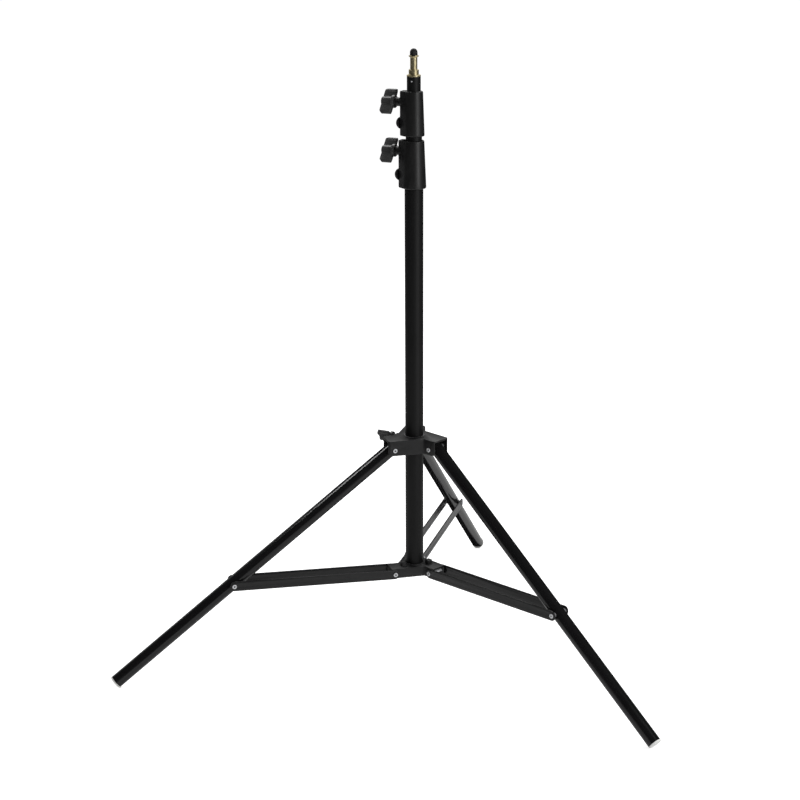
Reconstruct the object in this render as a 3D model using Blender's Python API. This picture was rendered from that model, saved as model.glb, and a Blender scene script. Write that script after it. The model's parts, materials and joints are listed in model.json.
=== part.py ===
"""Three-section light stand with folding tubular legs, at its real size in metres.

The column stands on the Z axis, with the origin at the centre of its lower end face.
Each arm has its own frame: X outwards from the column, Y across the arm, Z up.
"""

import math

import bmesh
import bpy
from mathutils import Matrix, Vector

# Clearances and drawing quality
seat_gap = 0.0003
cut_beyond = 0.0100
smooth_angle = math.radians(35)
tube_sides = 36
cap_sides = 24
pin_sides = 12
bore_sides = 16

# Column tubes: the outer one, their wall, and the room each has inside the next
lower_tube_radius = 0.0150
tube_wall = 0.0012
telescope_room = 0.0008

# Heights above the column's lower end face
tube_seat_height = 0.0026
lower_collar_bottom = 0.65685
lower_collar_height = 0.07655
upper_collar_gap = 0.00645
upper_collar_height = 0.0710
top_tube_exposed = 0.0223

# Sockets of the collars on the tubes that carry them
lower_collar_socket = 0.0470
upper_collar_socket = 0.04175
glide_length = 0.01915
glide_flange = 0.00435
glide_bore_radius = 0.00695
middle_tube_rest_gap = 0.0309
top_tube_rest_gap = 0.0052

# Arms of both spiders: azimuth of the rear arm, and how far each arm stands beside the axis
rear_azimuth = math.radians(74.2)
arm_names = ("rear", "left", "right")
arm_step = math.radians(120)
arm_offset = 0.01115
pivot_radius = 0.0400

# Legs
leg_radius = 0.0110
leg_wall = 0.0012
leg_reach = 0.6003
leg_angle = math.radians(37.85)
leg_head = 0.00785
leg_brace_distance = 0.34625
foot_flange = 0.0026
foot_spigot = 0.0174
foot_edge_round = 0.00105

# Braces, a pair of flat straps beside each leg
strap_height = 0.01305
strap_thickness = 0.0018
lower_pivot_height = 0.00785
brace_level_rise = 0.0070
strap_side_gap = 0.0038

# Pivot hardware
pivot_pin_radius = 0.0026
sleeve_radius = 0.00435
rivet_head_radius = 0.00375
rivet_head_height = 0.0015
rivet_rim_radius = 0.00295
rivet_hollow_radius = 0.0014
rivet_hollow_depth = 0.0022

# Upper spider
spider_wall = 0.0026
upper_spider_rise = 0.01645
upper_spider_drop = 0.00905
upper_arm_beyond_pivot = 0.0135
upper_arm_slant = 0.00215
hub_radius = 0.0206
liner_wall = 0.0013
short_corner_round = 0.0061
long_corner_round = 0.00435
inner_corner_round = 0.0035
upper_end_round = 0.0074
lower_end_round = 0.0052
top_edge_round = 0.00105

# Lower spider
lower_spider_rise = 0.00915
lower_spider_foot = 0.00045
lower_arm_beyond_pivot = 0.0070
lower_corner_round = 0.00305
lower_hub_radius = 0.0191
lip_radius = 0.0178
lip_height = 0.00155
rest_inner = 0.0178
rest_outer = 0.0274
rest_width = 0.0101
rest_height = 0.0074
rest_round = 0.00215
column_pin_radius = 0.00175
column_pin_drop = 0.0052
column_pin_azimuth = math.radians(14.2)
end_plug_flange = 0.0023
end_plug_spigot = 0.0065
end_plug_wall = 0.0018

# Clamp side of the collars and of the upper spider
clamp_azimuth = math.radians(155)
collar_boss_half_width = 0.0079
collar_boss_round = 0.0035
lower_collar_reach = 0.0247
upper_collar_reach = 0.0220
lower_collar_top_radius = 0.0166
lower_collar_foot_radius = 0.0198
upper_collar_top_radius = 0.0146
upper_collar_foot_radius = 0.0171
collar_edge_round = 0.00155
collar_foot_chamfer = 0.00245
collar_neck_radius = 0.00695
collar_neck_root_radius = 0.0092
collar_neck_reach = 0.0300
collar_knob_drop = 0.0181
collar_bolt_rise_lower = 0.0209
collar_bolt_rise_upper = 0.0201
collar_bolt_shank_radius = 0.0026
collar_bolt_dome_radius = 0.0100
collar_bolt_dome_height = 0.00785

# Wing knobs and their clamping screws
washer_radius = 0.0074
washer_thickness = 0.0012
screw_radius = 0.0035
knob_flange_radius = 0.0102
knob_flange_height = 0.0050
knob_flange_edge = 0.0008
knob_hub_radius = 0.00715
knob_length = 0.0221
knob_hub_rise = 0.0008
knob_span = 0.0229
knob_waist = 0.00245
knob_lobe = 0.0040
knob_tip_taper = 0.0036
knob_edge_round = 0.00085
knob_socket_depth = 0.01305
spider_neck_reach = 0.0370
spider_knob_rise = 0.0061
lower_knob_turn = math.radians(39)
upper_knob_turn = math.radians(38)
spider_knob_turn = math.radians(-50)

# Stud for the lamp, with its protective cap
stud_flange_radius = 0.0111
stud_flange_height = 0.0027
stud_land_radius = 0.0080
stud_land_height = 0.0082
stud_groove_radius = 0.0057
stud_groove_height = 0.0199
stud_lip_height = 0.0018
stud_thread_radius = 0.0032
stud_thread_height = 0.0080
stud_spigot_length = 0.0226
stud_chamfer = 0.0005
stud_pin_radius = 0.0013
stud_pin_drop = 0.0065
stud_pin_azimuth = math.radians(251)
cap_radius = 0.0061
cap_height = 0.0107
cap_bore_depth = 0.0085
cap_rib_count = 14
cap_rib_depth = 0.0003

# Derived places
upper_arm_end = pivot_radius + upper_arm_beyond_pivot
lower_arm_end = pivot_radius + lower_arm_beyond_pivot
middle_tube_radius = lower_tube_radius - tube_wall - telescope_room
top_tube_radius = middle_tube_radius - tube_wall - telescope_room
strap_inner = leg_radius + strap_side_gap
strap_outer = strap_inner + strap_thickness
leg_drop = leg_reach * math.sin(leg_angle)
brace_pivot_radius = pivot_radius + leg_brace_distance * math.cos(leg_angle)
upper_pivot_height = (
    lower_pivot_height + brace_level_rise + leg_brace_distance * math.sin(leg_angle)
)
brace_length = math.hypot(brace_pivot_radius - pivot_radius, brace_level_rise)
brace_angle = math.asin(brace_level_rise / brace_length)
upper_spider_top = upper_pivot_height + upper_spider_rise
upper_spider_bottom = upper_pivot_height - upper_spider_drop
lower_spider_top = lower_pivot_height + lower_spider_rise
lower_spider_half = strap_inner - seat_gap
rest_top = lower_spider_top + rest_height
column_pin_height = lower_spider_top - column_pin_drop
lower_collar_top = lower_collar_bottom + lower_collar_height
upper_collar_bottom = lower_collar_top + upper_collar_gap
upper_collar_top = upper_collar_bottom + upper_collar_height
lower_tube_top = lower_collar_bottom + lower_collar_socket
middle_tube_top = upper_collar_bottom + upper_collar_socket
stud_seat_height = upper_collar_top + top_tube_exposed
lower_tube_bore = lower_tube_radius - tube_wall
middle_tube_bore = middle_tube_radius - tube_wall
top_tube_bore = top_tube_radius - tube_wall
end_plug_top = tube_seat_height + end_plug_spigot
middle_tube_bottom = end_plug_top + middle_tube_rest_gap
top_tube_bottom = middle_tube_bottom + glide_length + top_tube_rest_gap


def clear_scene():
    for obj in list(bpy.data.objects):
        bpy.data.objects.remove(obj, do_unlink=True)


def make_material(name, color, roughness, metallic):
    material = bpy.data.materials.new(name)
    material.use_nodes = True
    shader = material.node_tree.nodes["Principled BSDF"]
    shader.inputs["Base Color"].default_value = (*color, 1.0)
    shader.inputs["Roughness"].default_value = roughness
    shader.inputs["Metallic"].default_value = metallic
    return material


def finish(name, bm, material, parent=None):
    """Turns a bmesh into a named object with outward faces and smooth round sides."""
    bmesh.ops.remove_doubles(bm, verts=bm.verts, dist=1e-6)
    bmesh.ops.recalc_face_normals(bm, faces=bm.faces)
    mesh = bpy.data.meshes.new(name)
    bm.to_mesh(mesh)
    bm.free()
    mesh.materials.append(material)
    mesh.shade_smooth()
    mesh.set_sharp_from_angle(angle=smooth_angle)
    obj = bpy.data.objects.new(name, mesh)
    bpy.context.scene.collection.objects.link(obj)
    obj.parent = parent
    return obj


def make_empty(name, matrix, parent=None):
    empty = bpy.data.objects.new(name, None)
    empty.empty_display_size = 0.02
    bpy.context.scene.collection.objects.link(empty)
    empty.parent = parent
    empty.matrix_local = matrix
    return empty


def turned(profile, sides=tube_sides):
    """Revolves a profile of (radius, height) points about Z; it closes on itself."""
    bm = bmesh.new()
    verts = [bm.verts.new((radius, 0.0, height)) for radius, height in profile]
    pairs = zip(verts, verts[1:] + verts[:1])
    edges = [bm.edges.new(pair) for pair in pairs if any(vert.co.x > 0 for vert in pair)]
    bmesh.ops.spin(
        bm,
        geom=verts + edges,
        cent=(0, 0, 0),
        axis=(0, 0, 1),
        angle=math.tau,
        steps=sides,
        use_merge=True,
        use_duplicate=False,
    )
    bmesh.ops.remove_doubles(bm, verts=bm.verts, dist=1e-6)
    return bm


def tube_profile(outer, inner, bottom, top):
    return [(outer, bottom), (outer, top), (inner, top), (inner, bottom)]


def rod_profile(radius, bottom, top):
    return [(0.0, bottom), (radius, bottom), (radius, top), (0.0, top)]


def pin_hole(radius, half_length):
    """A cutter for a cross hole that a pin of this radius passes with the usual gap."""
    reach = half_length + cut_beyond
    return turned(rod_profile(radius + seat_gap, -reach, reach), pin_sides)


def prism(outline, bottom, top):
    """Extrudes a flat outline of (x, y) points upwards."""
    bm = bmesh.new()
    face = bm.faces.new([bm.verts.new((x, y, bottom)) for x, y in outline])
    lifted = bmesh.ops.extrude_face_region(bm, geom=[face])["geom"]
    raised = [item for item in lifted if isinstance(item, bmesh.types.BMVert)]
    bmesh.ops.translate(bm, verts=raised, vec=(0, 0, top - bottom))
    return bm


def bevel_edges(bm, edges, offset, segments):
    bmesh.ops.recalc_face_normals(bm, faces=bm.faces)
    bmesh.ops.bevel(
        bm,
        geom=list(edges),
        offset=offset,
        offset_type="OFFSET",
        segments=segments,
        profile=0.5,
        affect="EDGES",
        clamp_overlap=True,
        material=-1,
    )


def turn(bm, matrix):
    bmesh.ops.transform(bm, matrix=matrix, verts=bm.verts)
    return bm


def use_boolean(obj, tool_name, bm, operation):
    """Cuts or joins a helper shape; the helper stays in the file as a wire guide."""
    helper = finish(tool_name, bm, obj.data.materials[0], obj.parent)
    helper.hide_render = True
    helper.display_type = "WIRE"
    modifier = obj.modifiers.new(tool_name, "BOOLEAN")
    modifier.operation = operation
    modifier.solver = "EXACT"
    modifier.object = helper


def cut(obj, tool_name, bm):
    use_boolean(obj, tool_name, bm, "DIFFERENCE")


def join(obj, tool_name, bm):
    use_boolean(obj, tool_name, bm, "UNION")


def across(middle_x, height=0.0):
    """Turns a shape made along Z so that it lies along the arm's Y, at a given X."""
    return Matrix.Translation((middle_x, 0.0, height)) @ Matrix.Rotation(-math.pi / 2, 4, "X")


def radial(azimuth, height):
    """Turns a shape made along Z so that it points away from the column."""
    place = Matrix.Translation((0.0, 0.0, height))
    return place @ Matrix.Rotation(azimuth, 4, "Z") @ Matrix.Rotation(math.pi / 2, 4, "Y")


# Spiders


def spider_outline(half_width, arm_end, slant, radii=None):
    """Three arms set beside the axis; each long wall runs on past the column."""
    long_side = half_width + arm_offset
    short_side = half_width - arm_offset
    inner = (long_side - short_side / 2) / math.cos(math.radians(30))
    corners = []
    for index in range(3):
        turn_arm = Matrix.Rotation(rear_azimuth + index * arm_step, 2)
        for x, y in ((inner, -short_side), (arm_end, -short_side), (arm_end - slant, long_side)):
            corners.append(turn_arm @ Vector((x, y)))
    if radii is None:
        return [tuple(corner) for corner in corners]
    return rounded(corners, radii * 3, 4)


def rounded(corners, radii, steps):
    """Replaces each corner of a flat outline with an arc of its own radius."""
    points = []
    count = len(corners)
    for i, corner in enumerate(corners):
        back = (corners[i - 1] - corner).normalized()
        ahead = (corners[(i + 1) % count] - corner).normalized()
        half = back.angle(ahead) / 2
        centre = corner + (back + ahead).normalized() * radii[i] / math.sin(half)
        start = corner + back * radii[i] / math.tan(half) - centre
        end = corner + ahead * radii[i] / math.tan(half) - centre
        sweep = start.angle_signed(end)
        for step in range(steps + 1):
            arc = Matrix.Rotation(-sweep * step / steps, 2) @ start
            points.append(tuple(centre + arc))
    return points


def spider_body(outline, bottom, top):
    """The outer form, with a soft top edge."""
    bm = prism(outline, bottom, top)
    rim = [e for e in bm.edges if all(abs(v.co.z - top) < 1e-6 for v in e.verts)]
    bevel_edges(bm, rim, top_edge_round, 2)
    return bm


def spider_cavity(half_width, arm_end, bottom, roof):
    """Open from below and at the arm ends, with a wall left all round."""
    outline = spider_outline(half_width - spider_wall, arm_end * 1.5, 0.0)
    return prism(outline, bottom - spider_wall, roof)


def arm_end_cutter(half_width, arm_end, corner, bottom):
    """What rounds the low outer edge of an arm, drawn in the arm's own frame."""
    beyond = 0.004
    lead = 0.0002
    outline = [(arm_end + beyond, bottom - beyond), (arm_end + beyond, bottom + corner)]
    for step in range(5):
        angle = -math.pi / 2 * step / 4
        x = arm_end - corner + lead + corner * math.cos(angle)
        outline.append((x, bottom + corner - lead + corner * math.sin(angle)))
    outline.append((arm_end - corner, bottom - beyond))
    bm = prism(outline, -half_width - beyond, half_width + beyond)
    return turn(bm, Matrix.Rotation(math.pi / 2, 4, "X"))


def make_upper_spider(material):
    half_width = upper_wall_outer()
    radii = (inner_corner_round, short_corner_round, long_corner_round)
    outline = spider_outline(half_width, upper_arm_end, upper_arm_slant, radii)
    body = spider_body(outline, upper_spider_bottom, upper_spider_top)
    spider = finish("upper_spider", body, material)
    roof = upper_spider_top - spider_wall
    cavity = spider_cavity(half_width, upper_arm_end, upper_spider_bottom, roof)
    cut(spider, "upper_spider_cavity", cavity)
    hub = turned(rod_profile(hub_radius, upper_spider_bottom, upper_spider_top - spider_wall / 2))
    join(spider, "upper_spider_hub", hub)
    neck_start = lower_tube_radius
    neck = turned(
        [
            (0.0, neck_start),
            (collar_neck_root_radius, neck_start),
            (collar_neck_root_radius, spider_neck_reach - 0.0052),
            (collar_neck_radius, spider_neck_reach - 0.0026),
            (collar_neck_radius, spider_neck_reach),
            (0.0, spider_neck_reach),
        ],
        pin_sides,
    )
    clamp = radial(clamp_azimuth, upper_pivot_height + spider_knob_rise)
    join(spider, "upper_spider_neck", turn(neck, clamp))
    screw_bore = rod_profile(
        screw_radius + seat_gap, lower_tube_radius - tube_wall, spider_neck_reach + cut_beyond
    )
    cut(spider, "upper_spider_screw_bore", turn(turned(screw_bore, bore_sides), clamp))
    bore = rod_profile(
        lower_tube_radius + liner_wall + 2 * seat_gap,
        upper_spider_bottom - cut_beyond,
        upper_spider_top + cut_beyond,
    )
    cut(spider, "upper_spider_bore", turned(bore))
    for index, arm in enumerate(arm_names):
        end = arm_end_cutter(half_width, upper_arm_end, upper_end_round, upper_spider_bottom)
        cut(spider, "upper_spider_end_" + arm, turn(end, arm_matrix(index)))
        hole = pin_hole(pivot_pin_radius, half_width)
        place = arm_matrix(index) @ across(pivot_radius, upper_pivot_height)
        cut(spider, "upper_spider_hole_" + arm, turn(hole, place))


def arm_matrix(index):
    """The arm's own frame, with Y = 0 at the middle of its leg."""
    return Matrix.Rotation(rear_azimuth + index * arm_step, 4, "Z") @ Matrix.Translation(
        (0.0, arm_offset, 0.0)
    )


def make_liner(material):
    outer = lower_tube_radius + seat_gap + liner_wall
    liner = finish(
        "upper_spider_liner",
        turned(
            tube_profile(
                outer,
                lower_tube_radius + seat_gap,
                upper_spider_bottom + seat_gap,
                upper_spider_top - seat_gap,
            )
        ),
        material,
    )
    window = rod_profile(screw_radius + seat_gap, lower_tube_bore, outer + cut_beyond)
    window = turned(window, pin_sides)
    clamp = radial(clamp_azimuth, upper_pivot_height + spider_knob_rise)
    cut(liner, "liner_window", turn(window, clamp))


def make_lower_spider(material):
    bottom = lower_spider_foot
    radii = (inner_corner_round, lower_corner_round, lower_corner_round)
    outline = spider_outline(lower_spider_half, lower_arm_end, 0.0, radii)
    spider = finish("lower_spider", spider_body(outline, bottom, lower_spider_top), material)
    roof = lower_spider_top - spider_wall
    cut(spider, "lower_spider_cavity", spider_cavity(lower_spider_half, lower_arm_end, bottom, roof))
    hub = turned(rod_profile(lower_hub_radius, bottom, roof + spider_wall / 2))
    join(spider, "lower_spider_hub", hub)
    lip = rod_profile(lip_radius, roof + spider_wall / 3, lower_spider_top + lip_height)
    join(spider, "lower_spider_lip", turned(lip))
    for index, arm in enumerate(arm_names):
        rest = turn(leg_rest(roof + spider_wall / 4), arm_matrix(index))
        join(spider, "lower_spider_rest_" + arm, rest)
    bore = lower_tube_radius + seat_gap
    through = rod_profile(bore, bottom - cut_beyond, rest_top + cut_beyond)
    cut(spider, "lower_spider_bore", turned(through))
    for index, arm in enumerate(arm_names):
        end = arm_end_cutter(lower_spider_half, lower_arm_end, lower_end_round, bottom)
        cut(spider, "lower_spider_end_" + arm, turn(end, arm_matrix(index)))
        hole = pin_hole(pivot_pin_radius, lower_spider_half)
        place = arm_matrix(index) @ across(pivot_radius, lower_pivot_height)
        cut(spider, "lower_spider_hole_" + arm, turn(hole, place))
    hole = pin_hole(column_pin_radius, lower_hub_radius)
    cut(spider, "lower_spider_pin_hole", turn(hole, radial(column_pin_azimuth, column_pin_height)))


def leg_rest(bottom):
    """A block at the root of an arm that the folded leg lies against."""
    half = rest_width / 2
    bm = prism(
        [(rest_inner, -half), (rest_outer, -half), (rest_outer, half), (rest_inner, half)],
        bottom,
        rest_top,
    )
    uprights = [e for e in bm.edges if abs(e.verts[0].co.z - e.verts[1].co.z) > 1e-6]
    bevel_edges(bm, uprights, rest_round, 3)
    rim = [e for e in bm.edges if all(abs(v.co.z - rest_top) < 1e-6 for v in e.verts)]
    bevel_edges(bm, rim, top_edge_round, 1)
    return bm


def make_column_pin(zinc):
    """Holds the column in the lower spider, out of sight under its roof."""
    reach = lower_hub_radius - seat_gap
    pin = turned(rod_profile(column_pin_radius, -reach, reach), pin_sides)
    finish("column_pin", turn(pin, radial(column_pin_azimuth, column_pin_height)), zinc)


# Column and its sections


def make_column_tubes(paint, nylon):
    lower = finish(
        "lower_tube",
        turned(tube_profile(lower_tube_radius, lower_tube_bore, tube_seat_height, lower_tube_top)),
        paint,
    )
    hole = pin_hole(column_pin_radius, lower_tube_radius)
    cut(lower, "lower_tube_pin_hole", turn(hole, radial(column_pin_azimuth, column_pin_height)))
    finish(
        "middle_tube",
        turned(tube_profile(middle_tube_radius, middle_tube_bore, middle_tube_bottom, middle_tube_top)),
        paint,
    )
    top = finish(
        "top_tube",
        turned(tube_profile(top_tube_radius, top_tube_bore, top_tube_bottom, stud_seat_height)),
        paint,
    )
    hole = pin_hole(stud_pin_radius, top_tube_radius)
    cut(top, "top_tube_pin_hole", turn(hole, radial(stud_pin_azimuth, stud_seat_height - stud_pin_drop)))
    for name, tube_bore, guide_bore, bottom in (
        ("middle_tube_glide", middle_tube_bore, lower_tube_bore, middle_tube_bottom),
        ("top_tube_glide", top_tube_bore, middle_tube_bore, top_tube_bottom),
    ):
        flange = guide_bore - seat_gap
        spigot = tube_bore - seat_gap
        profile = [
            (glide_bore_radius * tube_bore / middle_tube_bore, bottom - seat_gap - glide_flange),
            (flange - 0.0005, bottom - seat_gap - glide_flange),
            (flange, bottom - glide_flange),
            (flange, bottom - seat_gap),
            (spigot, bottom - seat_gap),
            (spigot, bottom + glide_length - glide_flange),
            (glide_bore_radius * tube_bore / middle_tube_bore, bottom + glide_length - glide_flange),
        ]
        finish(name, turned(profile, cap_sides), nylon)


def make_end_plug(plastic):
    flange = lower_tube_radius - seat_gap
    spigot = lower_tube_bore - seat_gap
    profile = [
        (0.0, 0.0),
        (flange - 0.0006, 0.0),
        (flange, 0.0006),
        (flange, end_plug_flange),
        (spigot, end_plug_flange),
        (spigot, end_plug_top),
        (spigot - end_plug_wall, end_plug_top),
        (spigot - end_plug_wall, tube_seat_height),
        (0.0, tube_seat_height),
    ]
    finish("column_end_plug", turned(profile, cap_sides), plastic)


def collar_outline(radius, reach):
    """A round body with a square boss towards +X that carries the clamping screw."""
    half = collar_boss_half_width
    corner = collar_boss_round
    start = math.asin(half / radius)
    points = []
    for step in range(21):
        angle = start + (math.tau - 2 * start) * step / 20
        points.append((radius * math.cos(angle), radius * math.sin(angle)))
    for sign, first in ((-1, -90), (1, 0)):
        for step in range(4):
            angle = math.radians(first + 90 * step / 3)
            x = reach - corner + corner * math.cos(angle)
            y = sign * (half - corner) + corner * math.sin(angle)
            points.append((x, y))
    return points


def collar_body(foot_radius, top_radius, reach, bottom, top):
    """A lofted sleeve between its foot and top outlines, closed and softly edged."""
    bm = bmesh.new()
    rings = []
    for radius, height in ((foot_radius, bottom), (top_radius, top)):
        rings.append([bm.verts.new((x, y, height)) for x, y in collar_outline(radius, reach)])
    low, high = rings
    foot_face = bm.faces.new(low)
    top_face = bm.faces.new(high)
    count = len(low)
    for i in range(count):
        j = (i + 1) % count
        bm.faces.new((low[i], low[j], high[j], high[i]))
    foot_edges = list(foot_face.edges)
    top_edges = list(top_face.edges)
    bevel_edges(bm, foot_edges, collar_foot_chamfer, 1)
    bevel_edges(bm, [edge for edge in top_edges if edge.is_valid], collar_edge_round, 2)
    return bm


def make_collar(name, sizes, plastic):
    """A clamping sleeve: wide socket below, sliding bore above, clamp neck at the side."""
    clamp = Matrix.Rotation(clamp_azimuth, 4, "Z")
    body = collar_body(
        sizes["foot_radius"], sizes["top_radius"], sizes["reach"], sizes["bottom"], sizes["top"]
    )
    collar = finish(name, turn(body, clamp), plastic)
    knob_height = sizes["top"] - collar_knob_drop
    neck = turned(
        [
            (0.0, sizes["inner"]),
            (collar_neck_root_radius, sizes["inner"]),
            (collar_neck_root_radius, sizes["reach"] + 0.0006),
            (collar_neck_radius + 0.0008, sizes["reach"] + 0.0016),
            (collar_neck_radius, sizes["reach"] + 0.0032),
            (collar_neck_radius, collar_neck_reach),
            (0.0, collar_neck_reach),
        ],
        24,
    )
    join(collar, name + "_neck", turn(neck, radial(clamp_azimuth, knob_height)))
    screw = rod_profile(
        screw_radius + seat_gap, sizes["inner"] - tube_wall, collar_neck_reach + cut_beyond
    )
    cut(collar, name + "_screw_bore", turn(turned(screw, bore_sides), radial(clamp_azimuth, knob_height)))
    bolt_height = sizes["bottom"] + sizes["bolt_rise"]
    shank = rod_profile(
        collar_bolt_shank_radius + seat_gap, sizes["outer"] - tube_wall, sizes["reach"] + cut_beyond
    )
    cut(collar, name + "_bolt_hole", turn(turned(shank, bore_sides), radial(clamp_azimuth, bolt_height)))
    socket = rod_profile(
        sizes["outer"] + seat_gap, sizes["bottom"] - cut_beyond, sizes["socket_top"] + seat_gap
    )
    cut(collar, name + "_socket", turned(socket))
    bore = rod_profile(sizes["inner"] + seat_gap, sizes["bottom"], sizes["top"] + cut_beyond)
    cut(collar, name + "_bore", turned(bore))
    dome_seat = sizes["reach"] + seat_gap
    steps = 4
    dome = []
    ball = (collar_bolt_dome_radius**2 + collar_bolt_dome_height**2) / (2 * collar_bolt_dome_height)
    spread = math.asin(collar_bolt_dome_radius / ball)
    for step in range(steps + 1):
        angle = spread * (1 - step / steps)
        rise = ball * math.cos(angle) - (ball - collar_bolt_dome_height)
        dome.append((ball * math.sin(angle), dome_seat + rise))
    dome[-1] = (0.0, dome[-1][1])
    bolt = turned(
        [
            (0.0, sizes["outer"] + 2 * seat_gap),
            (collar_bolt_shank_radius, sizes["outer"] + 2 * seat_gap),
            (collar_bolt_shank_radius, dome_seat),
        ]
        + dome,
        24,
    )
    finish(name + "_bolt", turn(bolt, radial(clamp_azimuth, bolt_height)), plastic)
    return knob_height


# Knobs


def knob_outline():
    """Looking along the knob: two lobes, thin at the hub, that swell towards their tips."""
    steps = 12
    upper = []
    for step in range(steps + 1):
        x = knob_span * math.cos(math.pi * step / steps)
        along = abs(x) / knob_span
        lobe = knob_waist + (knob_lobe - knob_waist) * math.sin(math.pi / 2 * min(1, along / 0.75))
        tip = math.sqrt(max(1 - along**8, 0.0))
        upper.append((x, lobe * tip))
    lower = [(x, -y) for x, y in reversed(upper[1:-1])]
    return upper + lower


def make_knob_set(name, tip_reach, seat, azimuth, height, turn_angle, materials):
    """Wing knob, washer and screw on one axis; the knob's own Z points away from the column."""
    axis = make_empty(name + "_axis", radial(azimuth, height) @ Matrix.Rotation(turn_angle, 4, "Z"))
    washer_start = seat + seat_gap
    knob_start = washer_start + washer_thickness + seat_gap
    washer = turned(
        tube_profile(washer_radius, screw_radius + seat_gap, washer_start, washer_start + washer_thickness),
        24,
    )
    finish(name + "_washer", washer, materials["plastic"], axis)
    flange_top = knob_start + knob_flange_height
    wing_start = flange_top - knob_flange_edge
    wing_end = knob_start + knob_length
    wing = prism(knob_outline(), wing_start, wing_end)
    for side in (-1, 1):
        corner = Vector((side * knob_span, 0.0, wing_end - knob_tip_taper))
        normal = Vector((side * 1.0, 0.0, 1.0)).normalized()
        cut_result = bmesh.ops.bisect_plane(
            wing,
            geom=list(wing.verts) + list(wing.edges) + list(wing.faces),
            plane_co=corner,
            plane_no=normal,
            clear_outer=True,
        )
        rim = [item for item in cut_result["geom_cut"] if isinstance(item, bmesh.types.BMEdge)]
        bmesh.ops.holes_fill(wing, edges=rim)
    crisp = [
        edge
        for edge in wing.edges
        if len(edge.link_faces) == 2 and edge.calc_face_angle(0.0) > math.radians(30)
    ]
    bevel_edges(wing, crisp, knob_edge_round, 1)
    knob = finish(name, wing, materials["plastic"], axis)
    edge = knob_flange_edge
    hub_end = wing_end + knob_hub_rise
    hub = turned(
        [
            (0.0, knob_start),
            (knob_flange_radius - edge, knob_start),
            (knob_flange_radius, knob_start + edge),
            (knob_flange_radius, flange_top - edge),
            (knob_flange_radius - edge, flange_top),
            (knob_hub_radius, flange_top),
            (knob_hub_radius, hub_end - edge),
            (knob_hub_radius - edge, hub_end),
            (0.0, hub_end),
        ],
        24,
    )
    join(knob, name + "_hub", hub)
    socket = rod_profile(
        screw_radius + seat_gap, knob_start - cut_beyond, knob_start + knob_socket_depth
    )
    cut(knob, name + "_socket", turned(socket, pin_sides))
    screw = turned(
        [
            (0.0, tip_reach),
            (screw_radius - 0.0010, tip_reach),
            (screw_radius, tip_reach + 0.0010),
            (screw_radius, knob_start + knob_socket_depth - seat_gap),
            (0.0, knob_start + knob_socket_depth - seat_gap),
        ],
        pin_sides,
    )
    finish(name + "_screw", screw, materials["zinc"], axis)


# Legs and braces


def rivet_profile(shank_end, head_seat):
    """Half of a tubular rivet, from inside outwards, with its rolled and hollow head."""
    top = head_seat + rivet_head_height
    return [
        (0.0, shank_end),
        (pivot_pin_radius, shank_end),
        (pivot_pin_radius, head_seat),
        (rivet_head_radius, head_seat),
        (rivet_head_radius, head_seat + rivet_head_height * 0.4),
        (rivet_rim_radius, top),
        (rivet_hollow_radius, top),
        (rivet_hollow_radius, top - rivet_hollow_depth),
        (0.0, top - rivet_hollow_depth),
    ]


def full_rivet(head_seat):
    """A tubular rivet right through, headed alike at both ends."""
    half = rivet_profile(0.0, head_seat)[1:]
    mirrored = [(radius, -height) for radius, height in reversed(half)]
    return turned(mirrored + half, pin_sides)


def make_leg(index, materials):
    arm = arm_names[index]
    place = arm_matrix(index) @ Matrix.Translation((pivot_radius, 0.0, upper_pivot_height))
    pivot = make_empty("leg_%s_pivot" % arm, place @ Matrix.Rotation(leg_angle, 4, "Y"))
    along = Matrix.Rotation(math.pi / 2, 4, "Y")
    tube_end = leg_reach - foot_flange - seat_gap
    tube = finish(
        "leg_%s" % arm,
        turn(turned(tube_profile(leg_radius, leg_radius - leg_wall, -leg_head, tube_end), 32), along),
        materials["paint"],
        pivot,
    )
    sleeve_half = strap_inner - seat_gap
    for part, x in (("pivot", 0.0), ("brace", leg_brace_distance)):
        hole = pin_hole(sleeve_radius, leg_radius)
        cut(tube, "leg_%s_%s_hole" % (arm, part), turn(hole, across(x)))
        sleeve = tube_profile(sleeve_radius, pivot_pin_radius + seat_gap, -sleeve_half, sleeve_half)
        sleeve = turn(turned(sleeve, pin_sides), across(x))
        finish("leg_%s_%s_sleeve" % (arm, part), sleeve, materials["nylon"], pivot)
    spigot = leg_radius - leg_wall - seat_gap
    plug = turned(
        [
            (0.0, leg_reach),
            (leg_radius - foot_edge_round, leg_reach),
            (leg_radius - foot_edge_round * 0.3, leg_reach - foot_edge_round * 0.3),
            (leg_radius, leg_reach - foot_edge_round),
            (leg_radius, leg_reach - foot_flange),
            (spigot, leg_reach - foot_flange),
            (spigot, leg_reach - foot_flange - foot_spigot + 0.0010),
            (spigot - 0.0010, leg_reach - foot_flange - foot_spigot),
            (0.0, leg_reach - foot_flange - foot_spigot),
        ],
        cap_sides,
    )
    finish("foot_plug_%s" % arm, turn(plug, along), materials["white"], pivot)
    rivet_place = arm_matrix(index) @ across(pivot_radius, upper_pivot_height)
    rivet = turn(full_rivet(upper_wall_outer() + seat_gap), rivet_place)
    finish("leg_rivet_%s" % arm, rivet, materials["zinc"])


def upper_wall_outer():
    return strap_inner + spider_wall


def strap_outline():
    """A flat bar with full round ends about its two pivots."""
    half = strap_height / 2
    points = []
    for centre, first in ((brace_length, -90), (0.0, 90)):
        for step in range(9):
            angle = math.radians(first + 180 * step / 8)
            points.append((centre + half * math.cos(angle), half * math.sin(angle)))
    return points


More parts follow.
